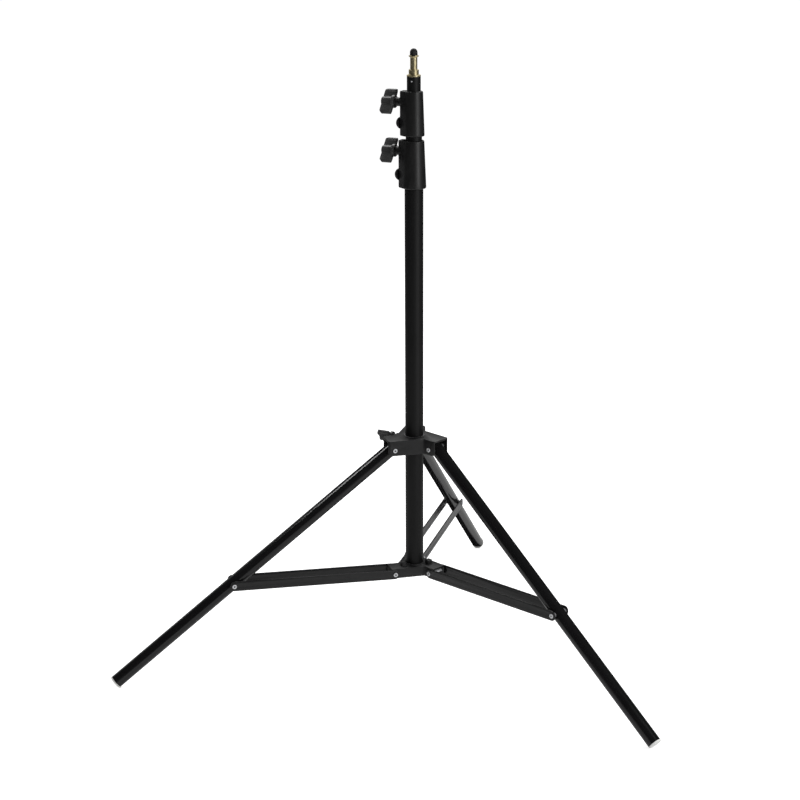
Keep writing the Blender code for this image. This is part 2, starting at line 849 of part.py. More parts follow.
def make_brace(index, materials):
    arm = arm_names[index]
    place = arm_matrix(index) @ Matrix.Translation((pivot_radius, 0.0, lower_pivot_height))
    pivot = make_empty("brace_%s_pivot" % arm, place @ Matrix.Rotation(-brace_angle, 4, "Y"))
    lay_flat = Matrix.Rotation(math.pi / 2, 4, "X")
    for side, sign in (("inner", -1), ("outer", 1)):
        near = strap_inner if sign > 0 else -strap_outer
        bar = prism(strap_outline(), -near - strap_thickness, -near)
        strap = finish("strap_%s_%s" % (arm, side), turn(bar, lay_flat), materials["strap"], pivot)
        for part, x in (("spider", 0.0), ("leg", brace_length)):
            hole = pin_hole(pivot_pin_radius, strap_outer)
            cut(strap, "strap_%s_%s_%s_hole" % (arm, side, part), turn(hole, across(x)))
        stub = turned(rivet_profile(strap_inner, strap_outer + seat_gap), pin_sides)
        flip = Matrix.Rotation(0.0 if sign > 0 else math.pi, 4, "X")
        stub = turn(stub, across(brace_length) @ flip)
        finish("brace_rivet_%s_%s" % (arm, side), stub, materials["zinc"], pivot)
    finish(
        "spider_rivet_%s" % arm,
        turn(full_rivet(strap_outer + seat_gap), across(0.0)),
        materials["zinc"],
        pivot,
    )


# Stud and cap


def make_stud(materials):
    seat = stud_seat_height + seat_gap
    flange_top = seat + stud_flange_height
    land_top = flange_top + stud_land_height
    groove_top = land_top + stud_groove_height
    lip_top = groove_top + stud_lip_height
    spigot = top_tube_bore - seat_gap
    thin = stud_chamfer
    stud = turned(
        [
            (0.0, seat - stud_spigot_length),
            (spigot - thin, seat - stud_spigot_length),
            (spigot, seat - stud_spigot_length + thin),
            (spigot, seat),
            (stud_flange_radius, seat),
            (stud_flange_radius, flange_top - thin),
            (stud_flange_radius - thin, flange_top),
            (stud_land_radius, flange_top),
            (stud_land_radius, land_top - thin),
            (stud_land_radius - thin, land_top),
            (stud_groove_radius + thin, land_top),
            (stud_groove_radius, land_top + thin),
            (stud_groove_radius, groove_top - 2 * thin),
            (stud_land_radius - thin, groove_top),
            (stud_land_radius, groove_top + thin),
            (stud_land_radius, lip_top),
            (stud_thread_radius, lip_top),
            (stud_thread_radius, lip_top + stud_thread_height - thin),
            (stud_thread_radius - thin, lip_top + stud_thread_height),
            (0.0, lip_top + stud_thread_height),
        ],
        cap_sides,
    )
    body = finish("stud", stud, materials["brass"])
    pin_place = radial(stud_pin_azimuth, stud_seat_height - stud_pin_drop)
    cut(body, "stud_pin_hole", turn(pin_hole(stud_pin_radius, top_tube_radius), pin_place))
    reach = top_tube_radius + 0.0004
    pin = turned(
        [
            (0.0, -reach),
            (stud_pin_radius - 0.0003, -reach),
            (stud_pin_radius, -reach + 0.0003),
            (stud_pin_radius, reach - 0.0003),
            (stud_pin_radius - 0.0003, reach),
            (0.0, reach),
        ],
        12,
    )
    finish("stud_pin", turn(pin, pin_place), materials["zinc"])
    make_cap(lip_top + seat_gap, materials)


def make_cap(seat, materials):
    """A soft dome with fine upright grips and a blind bore over the thread."""
    bm = bmesh.new()
    rows = []
    straight = cap_height - cap_radius
    levels = [(cap_radius * 0.97, 0.0), (cap_radius, 0.0008), (cap_radius * 0.985, straight)]
    for step in range(1, 5):
        angle = math.pi / 2 * step / 5
        levels.append((cap_radius * 0.985 * math.cos(angle), straight + cap_radius * math.sin(angle)))
    around = 2 * cap_rib_count
    for radius, height in levels:
        row = []
        for step in range(around):
            angle = math.tau * step / around
            dip = cap_rib_depth if step % 2 else 0.0
            dip *= radius / cap_radius
            place = (radius - dip) * Vector((math.cos(angle), math.sin(angle)))
            row.append(bm.verts.new((place.x, place.y, seat + height)))
        rows.append(row)
    for low, high in zip(rows, rows[1:]):
        for i in range(around):
            j = (i + 1) % around
            bm.faces.new((low[i], low[j], high[j], high[i]))
    bm.faces.new(rows[0])
    crown = bm.verts.new((0.0, 0.0, seat + cap_height))
    for i in range(around):
        bm.faces.new((rows[-1][i], rows[-1][(i + 1) % around], crown))
    cap = finish("stud_cap", bm, materials["rubber"])
    bore = rod_profile(stud_thread_radius + seat_gap, seat - cut_beyond, seat + cap_bore_depth)
    cut(cap, "stud_cap_bore", turned(bore, 24))


def settle():
    """Makes every cut and joint permanent, then marks the crisp edges for smooth shading."""
    bpy.context.view_layer.update()
    graph = bpy.context.evaluated_depsgraph_get()
    solids = [obj for obj in bpy.data.objects if obj.type == "MESH" and not obj.hide_render]
    finished = {}
    for obj in solids:
        finished[obj] = bpy.data.meshes.new_from_object(obj.evaluated_get(graph))
    for obj, mesh in finished.items():
        obj.modifiers.clear()
        obj.data = mesh
        mesh.name = obj.name
        mesh.shade_smooth()
        mesh.set_sharp_from_angle(angle=smooth_angle)
    for obj in [obj for obj in bpy.data.objects if obj.hide_render]:
        bpy.data.objects.remove(obj, do_unlink=True)


def main():
    clear_scene()
    materials = {
        "paint": make_material("black_paint", (0.012, 0.012, 0.013), 0.28, 0.0),
        "cast": make_material("black_casting", (0.022, 0.022, 0.023), 0.40, 0.0),
        "plastic": make_material("black_plastic", (0.018, 0.018, 0.019), 0.45, 0.0),
        "strap": make_material("black_strap", (0.015, 0.015, 0.016), 0.35, 0.0),
        "zinc": make_material("zinc_steel", (0.70, 0.71, 0.72), 0.30, 1.0),
        "brass": make_material("brass", (0.80, 0.66, 0.32), 0.22, 1.0),
        "white": make_material("white_nylon", (0.85, 0.85, 0.83), 0.50, 0.0),
        "nylon": make_material("grey_nylon", (0.25, 0.25, 0.26), 0.50, 0.0),
        "rubber": make_material("black_rubber", (0.030, 0.030, 0.030), 0.60, 0.0),
    }
    make_column_tubes(materials["paint"], materials["nylon"])
    make_end_plug(materials["plastic"])
    make_lower_spider(materials["cast"])
    make_column_pin(materials["zinc"])
    lower_sizes = {
        "foot_radius": lower_collar_foot_radius,
        "top_radius": lower_collar_top_radius,
        "reach": lower_collar_reach,
        "bottom": lower_collar_bottom,
        "top": lower_collar_top,
        "outer": lower_tube_radius,
        "inner": middle_tube_radius,
        "socket_top": lower_tube_top,
        "bolt_rise": collar_bolt_rise_lower,
    }
    upper_sizes = {
        "foot_radius": upper_collar_foot_radius,
        "top_radius": upper_collar_top_radius,
        "reach": upper_collar_reach,
        "bottom": upper_collar_bottom,
        "top": upper_collar_top,
        "outer": middle_tube_radius,
        "inner": top_tube_radius,
        "socket_top": middle_tube_top,
        "bolt_rise": collar_bolt_rise_upper,
    }
    for section, sizes, turn_angle in (
        ("lower", lower_sizes, lower_knob_turn),
        ("upper", upper_sizes, upper_knob_turn),
    ):
        height = make_collar(section + "_collar", sizes, materials["plastic"])
        tip = sizes["inner"] + seat_gap
        make_knob_set(
            section + "_knob", tip, collar_neck_reach, clamp_azimuth, height, turn_angle, materials
        )
    make_stud(materials)
    make_upper_spider(materials["cast"])
    make_liner(materials["nylon"])
    make_knob_set(
        "spider_knob",
        lower_tube_radius + seat_gap,
        spider_neck_reach,
        clamp_azimuth,
        upper_pivot_height + spider_knob_rise,
        spider_knob_turn,
        materials,
    )
    for index in range(3):
        make_leg(index, materials)
        make_brace(index, materials)
    settle()


main()
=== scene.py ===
import json
import math

import bmesh
import bpy
from mathutils import Matrix, Vector

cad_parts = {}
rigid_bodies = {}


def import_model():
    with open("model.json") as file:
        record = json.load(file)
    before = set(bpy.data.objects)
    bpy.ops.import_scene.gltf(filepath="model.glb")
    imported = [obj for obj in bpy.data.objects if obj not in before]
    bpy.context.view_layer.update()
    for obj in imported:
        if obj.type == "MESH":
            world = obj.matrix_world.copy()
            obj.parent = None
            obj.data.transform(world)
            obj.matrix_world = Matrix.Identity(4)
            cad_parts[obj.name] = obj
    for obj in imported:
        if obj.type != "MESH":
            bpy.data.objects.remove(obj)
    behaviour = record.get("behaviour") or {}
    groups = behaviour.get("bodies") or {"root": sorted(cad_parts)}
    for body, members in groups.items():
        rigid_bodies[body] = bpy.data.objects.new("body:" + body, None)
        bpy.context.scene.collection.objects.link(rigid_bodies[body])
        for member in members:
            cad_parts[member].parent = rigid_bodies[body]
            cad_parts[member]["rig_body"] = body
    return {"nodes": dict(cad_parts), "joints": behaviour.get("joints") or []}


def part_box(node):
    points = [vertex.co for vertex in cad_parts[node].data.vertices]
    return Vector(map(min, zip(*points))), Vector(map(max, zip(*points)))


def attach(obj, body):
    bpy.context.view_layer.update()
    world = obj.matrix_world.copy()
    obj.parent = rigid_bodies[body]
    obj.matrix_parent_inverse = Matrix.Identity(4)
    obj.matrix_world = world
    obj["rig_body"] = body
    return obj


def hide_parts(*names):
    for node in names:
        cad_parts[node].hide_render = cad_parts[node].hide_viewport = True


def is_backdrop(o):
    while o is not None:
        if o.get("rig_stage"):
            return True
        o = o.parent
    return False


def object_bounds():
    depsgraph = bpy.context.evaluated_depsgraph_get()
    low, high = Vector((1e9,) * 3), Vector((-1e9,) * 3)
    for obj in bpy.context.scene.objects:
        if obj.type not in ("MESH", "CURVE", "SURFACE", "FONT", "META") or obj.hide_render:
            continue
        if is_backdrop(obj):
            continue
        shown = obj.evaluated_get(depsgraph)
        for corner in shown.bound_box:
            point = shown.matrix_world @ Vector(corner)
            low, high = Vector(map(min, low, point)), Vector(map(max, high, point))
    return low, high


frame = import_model()
nodes = frame["nodes"]
joints = {joint["name"]: joint for joint in frame["joints"]}
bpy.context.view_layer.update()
print("stand loaded:", len(nodes), "solids")


# small helpers for the finishes

def startFinish(name):
    material = bpy.data.materials.new(name)
    material.use_nodes = True
    tree = material.node_tree
    return material, tree, tree.nodes["Principled BSDF"]


def addNode(tree, kind, **settings):
    node = tree.nodes.new(kind)
    for key, value in settings.items():
        setattr(node, key, value)
    return node


def objectSpace(tree, stretch=(1, 1, 1), turn=(0, 0, 0)):
    # the pattern is stretched along the axes of a frame that is turned with the piece
    coordinates = addNode(tree, "ShaderNodeTexCoord")
    mapping = addNode(tree, "ShaderNodeMapping", vector_type="TEXTURE")
    mapping.inputs["Scale"].default_value = stretch
    mapping.inputs["Rotation"].default_value = turn
    tree.links.new(coordinates.outputs["Object"], mapping.inputs["Vector"])
    return mapping.outputs["Vector"]


def noiseOf(tree, vector, scale, detail=3.0, roughness=0.5, distortion=0.0):
    noise = addNode(tree, "ShaderNodeTexNoise")
    noise.inputs["Scale"].default_value = scale
    noise.inputs["Detail"].default_value = detail
    noise.inputs["Roughness"].default_value = roughness
    noise.inputs["Distortion"].default_value = distortion
    tree.links.new(vector, noise.inputs["Vector"])
    return noise.outputs["Fac"]


def rangeOf(tree, value, low, high, start=0.3, end=0.7):
    spread = addNode(tree, "ShaderNodeMapRange")
    spread.inputs["From Min"].default_value = start
    spread.inputs["From Max"].default_value = end
    spread.inputs["To Min"].default_value = low
    spread.inputs["To Max"].default_value = high
    tree.links.new(value, spread.inputs["Value"])
    return spread.outputs["Result"]


def mathOf(tree, operation, first, second):
    node = addNode(tree, "ShaderNodeMath", operation=operation)
    for socket, value in zip(node.inputs, (first, second)):
        if isinstance(value, (int, float)):
            socket.default_value = value
        else:
            tree.links.new(value, socket)
    return node.outputs["Value"]


def mixColour(tree, factor, first, second):
    mix = addNode(tree, "ShaderNodeMix", data_type="RGBA")
    tree.links.new(factor, mix.inputs[0])
    for socket, value in ((mix.inputs[6], first), (mix.inputs[7], second)):
        if isinstance(value, tuple):
            socket.default_value = (*value, 1)
        else:
            tree.links.new(value, socket)
    return mix.outputs[2]


def edgeMask(tree, radius, start=0.02, end=0.25):
    # 1 where the surface turns over an edge, 0 on flat and gently round places
    bevel = addNode(tree, "ShaderNodeBevel", samples=6)
    bevel.inputs["Radius"].default_value = radius
    geometry = addNode(tree, "ShaderNodeNewGeometry")
    dot = addNode(tree, "ShaderNodeVectorMath", operation="DOT_PRODUCT")
    tree.links.new(bevel.outputs["Normal"], dot.inputs[0])
    tree.links.new(geometry.outputs["Normal"], dot.inputs[1])
    away = mathOf(tree, "SUBTRACT", 1.0, dot.outputs["Value"])
    return rangeOf(tree, away, 0.0, 1.0, start, end), bevel.outputs["Normal"]


def bumpOf(tree, height, strength, distance, normal=None):
    bump = addNode(tree, "ShaderNodeBump")
    bump.inputs["Strength"].default_value = strength
    bump.inputs["Distance"].default_value = distance
    tree.links.new(height, bump.inputs["Height"])
    if normal is not None:
        tree.links.new(normal, bump.inputs["Normal"])
    return bump.outputs["Normal"]


# finishes

columnPaintLook = {
    "dark": (0.0052, 0.0052, 0.0055),
    "pale": (0.0074, 0.0074, 0.0078),
    "edgeTone": (0.030, 0.030, 0.032),
    "gloss": (0.46, 0.54),
    "shine": 0.32,
    "peelScale": 620,
    "peelDepth": 0.00006,
}

legPaintLook = {
    "dark": (0.0074, 0.0074, 0.0077),
    "pale": (0.0096, 0.0096, 0.0100),
    "edgeTone": (0.030, 0.030, 0.032),
    "gloss": (0.13, 0.20),
    "shine": 0.50,
    "peelScale": 620,
    "peelDepth": 0.00006,
}


def tubePaint(name, look, turn=(0, 0, 0)):
    # smooth paint on drawn tube; the fine lines run along the tube's own Z
    material, tree, shader = startFinish(name)
    space = objectSpace(tree)
    patches = noiseOf(tree, space, 16, 4)
    lines = noiseOf(tree, objectSpace(tree, (1, 1, 50), turn), 900, 3, 0.6)
    specks = noiseOf(tree, space, 2600, 1)
    edge, softNormal = edgeMask(tree, 0.0005)
    colour = mixColour(tree, rangeOf(tree, patches, 0, 1), look["dark"], look["pale"])
    colour = mixColour(tree, rangeOf(tree, specks, 0, 0.3, 0.70, 0.78), colour, look["edgeTone"])
    edgeToned = mathOf(tree, "MULTIPLY", edge, rangeOf(tree, noiseOf(tree, space, 240, 3), 0.1, 0.7))
    colour = mixColour(tree, edgeToned, colour, look["edgeTone"])
    tree.links.new(colour, shader.inputs["Base Color"])
    tree.links.new(rangeOf(tree, lines, *look["gloss"]), shader.inputs["Roughness"])
    peel = noiseOf(tree, space, look["peelScale"], 2, 0.4)
    normal = bumpOf(tree, peel, 0.3, look["peelDepth"], softNormal)
    tree.links.new(bumpOf(tree, lines, 0.10, 0.00004, normal), shader.inputs["Normal"])
    shader.inputs["Specular IOR Level"].default_value = look["shine"]
    return material


castingLook = {
    "dark": (0.0075, 0.0075, 0.0080),
    "pale": (0.0110, 0.0110, 0.0115),
    # the edge tone is partly rubbed paint and partly a painted highlight along the rims
    "edgeTone": (0.170, 0.170, 0.172),
    "gloss": (0.48, 0.58),
    "shine": 0.62,
    "grainScale": 1500,
    "grainDepth": 0.00008,
}


def castingPaint(name):
    # sprayed casting: fine grain over a slightly uneven skin; the edges are paler, partly rubbed paint and
    # partly a painted highlight along the rims
    look = castingLook
    material, tree, shader = startFinish(name)
    space = objectSpace(tree)
    patches = noiseOf(tree, space, 55, 5, 0.55)
    grain = noiseOf(tree, space, look["grainScale"], 4, 0.6)
    skin = noiseOf(tree, space, 160, 2, 0.4)
    edge, softNormal = edgeMask(tree, 0.0010)
    colour = mixColour(tree, rangeOf(tree, patches, 0, 1), look["dark"], look["pale"])
    # paler edges: rubbed paint together with a painted rim highlight
    edgeToned = mathOf(tree, "MULTIPLY", edge, rangeOf(tree, noiseOf(tree, space, 300, 4), 0.15, 0.9))
    colour = mixColour(tree, edgeToned, colour, look["edgeTone"])
    tree.links.new(colour, shader.inputs["Base Color"])
    tree.links.new(rangeOf(tree, patches, *look["gloss"]), shader.inputs["Roughness"])
    normal = bumpOf(tree, skin, 0.2, 0.0003, softNormal)
    tree.links.new(bumpOf(tree, grain, 0.4, look["grainDepth"], normal), shader.inputs["Normal"])
    shader.inputs["Specular IOR Level"].default_value = look["shine"]
    return material


collarPlasticLook = {
    "dark": (0.0096, 0.0096, 0.0099),
    "pale": (0.0122, 0.0122, 0.0126),
    "edgeTone": (0.040, 0.040, 0.042),
    "gloss": (0.40, 0.48),
    "shine": 0.62,
    "sparkScale": 2200,
    "sparkDepth": 0.00004,
}

# a paler copy of the collar plastic: the paler tone is painted light, standing for the light from above on
# the wings and hub
litKnobPlasticLook = {
    "dark": (0.0440, 0.0440, 0.0446),
    "pale": (0.0550, 0.0550, 0.0558),
    "edgeTone": (0.110, 0.110, 0.113),
    "gloss": (0.28, 0.36),
    "shine": 0.5,
    "sparkScale": 2600,
    "sparkDepth": 0.00003,
}


def mouldedPlastic(name, look):
    # fibre-filled plastic with a spark-eroded mould skin and faint flow marks
    material, tree, shader = startFinish(name)
    space = objectSpace(tree)
    flow = noiseOf(tree, objectSpace(tree, (1, 1, 2.8)), 70, 4, 0.6, 1.2)
    spark = noiseOf(tree, space, look["sparkScale"], 3, 0.7)
    edge, softNormal = edgeMask(tree, 0.0005)
    colour = mixColour(tree, rangeOf(tree, flow, 0, 1), look["dark"], look["pale"])
    edgeToned = mathOf(tree, "MULTIPLY", edge, rangeOf(tree, noiseOf(tree, space, 420, 3), 0.0, 0.6))
    colour = mixColour(tree, edgeToned, colour, look["edgeTone"])
    tree.links.new(colour, shader.inputs["Base Color"])
    tree.links.new(rangeOf(tree, flow, *look["gloss"]), shader.inputs["Roughness"])
    tree.links.new(bumpOf(tree, spark, 0.5, look["sparkDepth"], softNormal), shader.inputs["Normal"])
    shader.inputs["Specular IOR Level"].default_value = look["shine"]
    return material


strapLook = {
    "dark": (0.0080, 0.0080, 0.0084),
    "pale": (0.0115, 0.0115, 0.0120),
    "edgeTone": (0.050, 0.050, 0.052),
    "gloss": (0.26, 0.36),
    "shine": 0.50,
}


def strapPaint(name, turn):
    # thin paint over rolled strip: lengthwise rolling lines and edges rubbed paler
    look = strapLook
    material, tree, shader = startFinish(name)
    space = objectSpace(tree)
    rolling = noiseOf(tree, objectSpace(tree, (25, 1, 1), turn), 700, 4, 0.6)
    patches = noiseOf(tree, space, 45, 4)
    edge, softNormal = edgeMask(tree, 0.0004)
    colour = mixColour(tree, rangeOf(tree, patches, 0, 1), look["dark"], look["pale"])
    edgeToned = mathOf(tree, "MULTIPLY", edge, rangeOf(tree, noiseOf(tree, space, 350, 4), 0.0, 0.8))
    colour = mixColour(tree, edgeToned, colour, look["edgeTone"])
    tree.links.new(colour, shader.inputs["Base Color"])
    tree.links.new(rangeOf(tree, rolling, *look["gloss"]), shader.inputs["Roughness"])
    peel = noiseOf(tree, space, 900, 2, 0.5)
    normal = bumpOf(tree, peel, 0.3, 0.0001, softNormal)
    tree.links.new(bumpOf(tree, rolling, 0.15, 0.00005, normal), shader.inputs["Normal"])
    shader.inputs["Specular IOR Level"].default_value = look["shine"]
    return material


zincLook = {
    "dark": (0.76, 0.77, 0.79),
    "pale": (0.90, 0.91, 0.93),
    "dull": (0.50, 0.50, 0.50),
    "gloss": (0.36, 0.50),
}


def zincPlate(name):
    # bright plating with small crystals, cloudy patches and fine scratches
    look = zincLook
    material, tree, shader = startFinish(name)
    space = objectSpace(tree)
    crystal = addNode(tree, "ShaderNodeTexVoronoi")
    crystal.inputs["Scale"].default_value = 1800
    tree.links.new(space, crystal.inputs["Vector"])
    clouds = noiseOf(tree, space, 380, 4, 0.6)
    scratches = noiseOf(tree, objectSpace(tree, (1, 12, 1), (0.4, 0.2, 0.7)), 3200, 2, 0.6)
    both = mathOf(tree, "ADD", mathOf(tree, "MULTIPLY", crystal.outputs["Distance"], 0.4), clouds)
    colour = mixColour(tree, rangeOf(tree, both, 0, 1, 0.4, 1.0), look["dark"], look["pale"])
    grime = rangeOf(tree, noiseOf(tree, space, 900, 5, 0.7), 0, 0.5, 0.56, 0.74)
    colour = mixColour(tree, grime, colour, look["dull"])
    tree.links.new(colour, shader.inputs["Base Color"])
    tree.links.new(rangeOf(tree, scratches, *look["gloss"]), shader.inputs["Roughness"])
    softNormal = edgeMask(tree, 0.0002)[1]
    tree.links.new(bumpOf(tree, scratches, 0.2, 0.00003, softNormal), shader.inputs["Normal"])
    shader.inputs["Metallic"].default_value = 0.6
    return material


hollowShadeLook = {"dark": (0.006, 0.006, 0.006), "pale": (0.030, 0.029, 0.027)}


def rivetHollowShade(name):
    # painted shade: the inside of a tubular rivet, dull steel made dark to stand for the shade deep in the
    # hole
    look = hollowShadeLook
    material, tree, shader = startFinish(name)
    space = objectSpace(tree)
    mottle = noiseOf(tree, space, 1400, 4, 0.6)
    tree.links.new(mixColour(tree, rangeOf(tree, mottle, 0, 1), look["dark"], look["pale"]),
                   shader.inputs["Base Color"])
    tree.links.new(rangeOf(tree, mottle, 0.5, 0.8), shader.inputs["Roughness"])
    tree.links.new(bumpOf(tree, noiseOf(tree, space, 3600, 2), 0.3, 0.00005), shader.inputs["Normal"])
    return material


brassLook = {
    "dark": (0.66, 0.56, 0.32),
    "pale": (0.80, 0.71, 0.45),
    "tarnish": (0.40, 0.32, 0.16),
    "gloss": (0.36, 0.46),
    "ringPitch": 0.00022,
}


def turnedBrass(name):
    # lathe-turned brass: fine rings round the axis, a little tarnish in patches
    look = brassLook
    material, tree, shader = startFinish(name)
    space = objectSpace(tree)
    rings = addNode(tree, "ShaderNodeTexWave", wave_type="BANDS", bands_direction="Z")
    rings.inputs["Scale"].default_value = math.tau / 20 / look["ringPitch"]
    rings.inputs["Distortion"].default_value = 0.6
    rings.inputs["Detail"].default_value = 2
    tree.links.new(space, rings.inputs["Vector"])
    stains = noiseOf(tree, space, 260, 4, 0.6)
    fine = noiseOf(tree, objectSpace(tree, (20, 20, 1)), 5200, 2, 0.6)
    colour = mixColour(tree, rangeOf(tree, stains, 0, 1), look["dark"], look["pale"])
    tarnish = rangeOf(tree, noiseOf(tree, space, 700, 4, 0.65), 0, 0.45, 0.55, 0.75)
    colour = mixColour(tree, tarnish, colour, look["tarnish"])
    tree.links.new(colour, shader.inputs["Base Color"])
    tree.links.new(rangeOf(tree, fine, *look["gloss"]), shader.inputs["Roughness"])
    softNormal = edgeMask(tree, 0.0002)[1]
    normal = bumpOf(tree, rings.outputs["Fac"], 0.12, 0.00001, softNormal)
    tree.links.new(bumpOf(tree, fine, 0.06, 0.00001, normal), shader.inputs["Normal"])
    shader.inputs["Metallic"].default_value = 0.9
    return material


def nylon(name, dark, pale, scuff, roughness):
    # plain moulded nylon with a waxy skin, faint cloudiness and small scuffs
    material, tree, shader = startFinish(name)
    space = objectSpace(tree)
    clouds = noiseOf(tree, space, 120, 4, 0.55)
    scuffs = noiseOf(tree, objectSpace(tree, (1, 7, 1), (0.3, 0.5, 0.2)), 900, 4, 0.7)
    skin = noiseOf(tree, space, 1900, 2, 0.5)
    edge, softNormal = edgeMask(tree, 0.0004)
    colour = mixColour(tree, rangeOf(tree, clouds, 0, 1), dark, pale)
    marks = rangeOf(tree, scuffs, 0, 0.45, 0.60, 0.76)
    marks = mathOf(tree, "ADD", marks, mathOf(tree, "MULTIPLY", edge, 0.12))
    colour = mixColour(tree, marks, colour, scuff)
    tree.links.new(colour, shader.inputs["Base Color"])
    tree.links.new(rangeOf(tree, clouds, *roughness), shader.inputs["Roughness"])
    tree.links.new(bumpOf(tree, skin, 0.25, 0.00005, softNormal), shader.inputs["Normal"])
    return material


def gripRubber(name):
    # soft black rubber, dull, with a dusty bloom in patches
    material, tree, shader = startFinish(name)
    space = objectSpace(tree)
    bloom = noiseOf(tree, space, 420, 5, 0.65)
    pores = noiseOf(tree, space, 4200, 3, 0.6)
    colour = mixColour(tree, rangeOf(tree, bloom, 0, 1), (0.0075, 0.0075, 0.0078), (0.017, 0.017, 0.018))
    tree.links.new(colour, shader.inputs["Base Color"])
    tree.links.new(rangeOf(tree, bloom, 0.50, 0.66), shader.inputs["Roughness"])
    tree.links.new(bumpOf(tree, pores, 0.4, 0.00006), shader.inputs["Normal"])
    return material


casting = castingPaint("sprayed casting")
collarPlastic = mouldedPlastic("collar plastic", collarPlasticLook)
# the knobs take the paler plastic, whose extra tone is painted light from above
litKnobPlastic = mouldedPlastic("knob plastic painted light", litKnobPlasticLook)
zinc = zincPlate("zinc plate")
# the rivet hollows get painted shade, a dark steel that stands for the shade deep inside them
hollow = rivetHollowShade("rivet hollow painted shade")
brass = turnedBrass("turned brass")
whiteNylon = nylon("white nylon", (0.82, 0.82, 0.80), (0.90, 0.90, 0.88), (0.50, 0.49, 0.47), (0.40, 0.55))
greyNylon = nylon("grey nylon", (0.17, 0.17, 0.18), (0.25, 0.25, 0.26), (0.08, 0.08, 0.08), (0.45, 0.60))
rubber = gripRubber("grip rubber")
columnPaint = tubePaint("column paint", columnPaintLook)


def setFinish(nodeName, material):
    obj = nodes[nodeName]
    if not obj.data.materials:
        obj.data.materials.append(material)
    for slot in obj.material_slots:
        slot.link = "DATA"
        slot.material = material


for nodeName in ("lower_tube", "middle_tube", "top_tube"):
    setFinish(nodeName, columnPaint)
setFinish("column_end_plug", collarPlastic)
for nodeName in ("middle_tube_glide", "top_tube_glide", "upper_spider_liner"):
    setFinish(nodeName, greyNylon)
for nodeName in nodes:
    if nodeName.endswith("_sleeve"):
        setFinish(nodeName, greyNylon)
    if nodeName.endswith("_screw") or nodeName.endswith("column_pin"):
        setFinish(nodeName, zinc)
print("finishes made")


# small helpers for the shapes

touchGap = 0.0003  # what pieces that touch keep between them


def finishPiece(name, mesh, material, body, *replaced, sharp=38, inner=None):
    bmesh.ops.remove_doubles(mesh, verts=mesh.verts, dist=2e-6)
    bmesh.ops.recalc_face_normals(mesh, faces=mesh.faces)
    data = bpy.data.meshes.new(name)
    mesh.to_mesh(data)
    mesh.free()
    data.materials.append(material)
    if inner is not None:
        data.materials.append(inner)
    data.shade_smooth()
    data.set_sharp_from_angle(angle=math.radians(sharp))
    piece = bpy.data.objects.new(name, data)
    bpy.context.scene.collection.objects.link(piece)
    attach(piece, body)
    if replaced:
        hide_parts(*replaced)
    return piece


def held(profile, hold=0.00015):
    # long straight runs get a point close to each end, so that the shading stays at the corners
    points = []
    for near, far in zip(profile, profile[1:]):
        points.append(near)
        length = math.dist(near, far)
        if length > hold * 6:
            for share in (hold / length, 1 - hold / length):
                points.append(tuple(a + (b - a) * share for a, b in zip(near, far)))
    return points + [profile[-1]]


def spun(profile, steps):
    # a half profile of (radius, height) turned once round Z
    profile = held(profile)
    mesh = bmesh.new()
    points = [mesh.verts.new((radius, 0, height)) for radius, height in profile]
    edges = [mesh.edges.new(pair) for pair in zip(points, points[1:])]
    bmesh.ops.spin(mesh, geom=points + edges, cent=(0, 0, 0), axis=(0, 0, 1),
                   angle=math.tau, steps=steps, use_merge=True, use_duplicate=False)
    bmesh.ops.remove_doubles(mesh, verts=mesh.verts, dist=2e-6)
    return mesh


def arc(centreRadius, centreHeight, size, start, end, steps):
    # points of a quarter or other part of a circle, for the corners of a profile
    points = []
    for step in range(steps + 1):
        angle = math.radians(start + (end - start) * step / steps)
        points.append((centreRadius + size * math.cos(angle), centreHeight + size * math.sin(angle)))
    return points


def placed(mesh, matrix):
    bmesh.ops.transform(mesh, matrix=matrix, verts=mesh.verts)
    return mesh


def addTo(mesh, other):
    # puts a second closed shape into the same piece
    data = bpy.data.meshes.new("part")
    other.to_mesh(data)
    other.free()
    mesh.from_mesh(data)
    bpy.data.meshes.remove(data)


def lofted(rings):
    # closed rings of points, each bridged to the next and the last to the first
    mesh = bmesh.new()
    loops = []
    for ring in rings:
        points = [mesh.verts.new(point) for point in ring]
        loops.append([mesh.edges.new(pair) for pair in zip(points, points[1:] + points[:1])])
    for near, far in zip(loops, loops[1:] + loops[:1]):
        bmesh.ops.bridge_loops(mesh, edges=near + far)
    return mesh


def softCopy(name, nodeName, material, width, segments=2, sharp=30):
    # a copy of a solid with its crisp edges really rounded
    mesh = bmesh.new()
    mesh.from_mesh(nodes[nodeName].data)
    bmesh.ops.remove_doubles(mesh, verts=mesh.verts, dist=2e-6)
    bmesh.ops.dissolve_limit(mesh, angle_limit=math.radians(0.6), verts=mesh.verts, edges=mesh.edges)
    bmesh.ops.recalc_face_normals(mesh, faces=mesh.faces)
    crisp = [edge for edge in mesh.edges
             if len(edge.link_faces) == 2 and edge.calc_face_angle(0) > math.radians(sharp)]
    bmesh.ops.bevel(mesh, geom=crisp, offset=width, offset_type="OFFSET", segments=segments,
                    profile=0.5, affect="EDGES", clamp_overlap=True, material=-1)
    return finishPiece(name, mesh, material, nodes[nodeName]["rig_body"], nodeName)


def nodeMiddle(nodeName):
    low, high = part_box(nodeName)
    return (low + high) / 2


def reachAlong(nodeName, centre, way):
    # how far a solid reaches back and forth along a direction from a point
    shares = [way.dot(vertex.co - centre) for vertex in nodes[nodeName].data.vertices]
    return min(shares), max(shares)


def radiusAbout(nodeName, centre, way):
    # how far a solid reaches from an axis
    offsets = [vertex.co - centre for vertex in nodes[nodeName].data.vertices]
    return max((offset - way * way.dot(offset)).length for offset in offsets)


# castings

castingEdge = {"upper_spider": 0.0008, "lower_spider": 0.0006, "segments": 3}

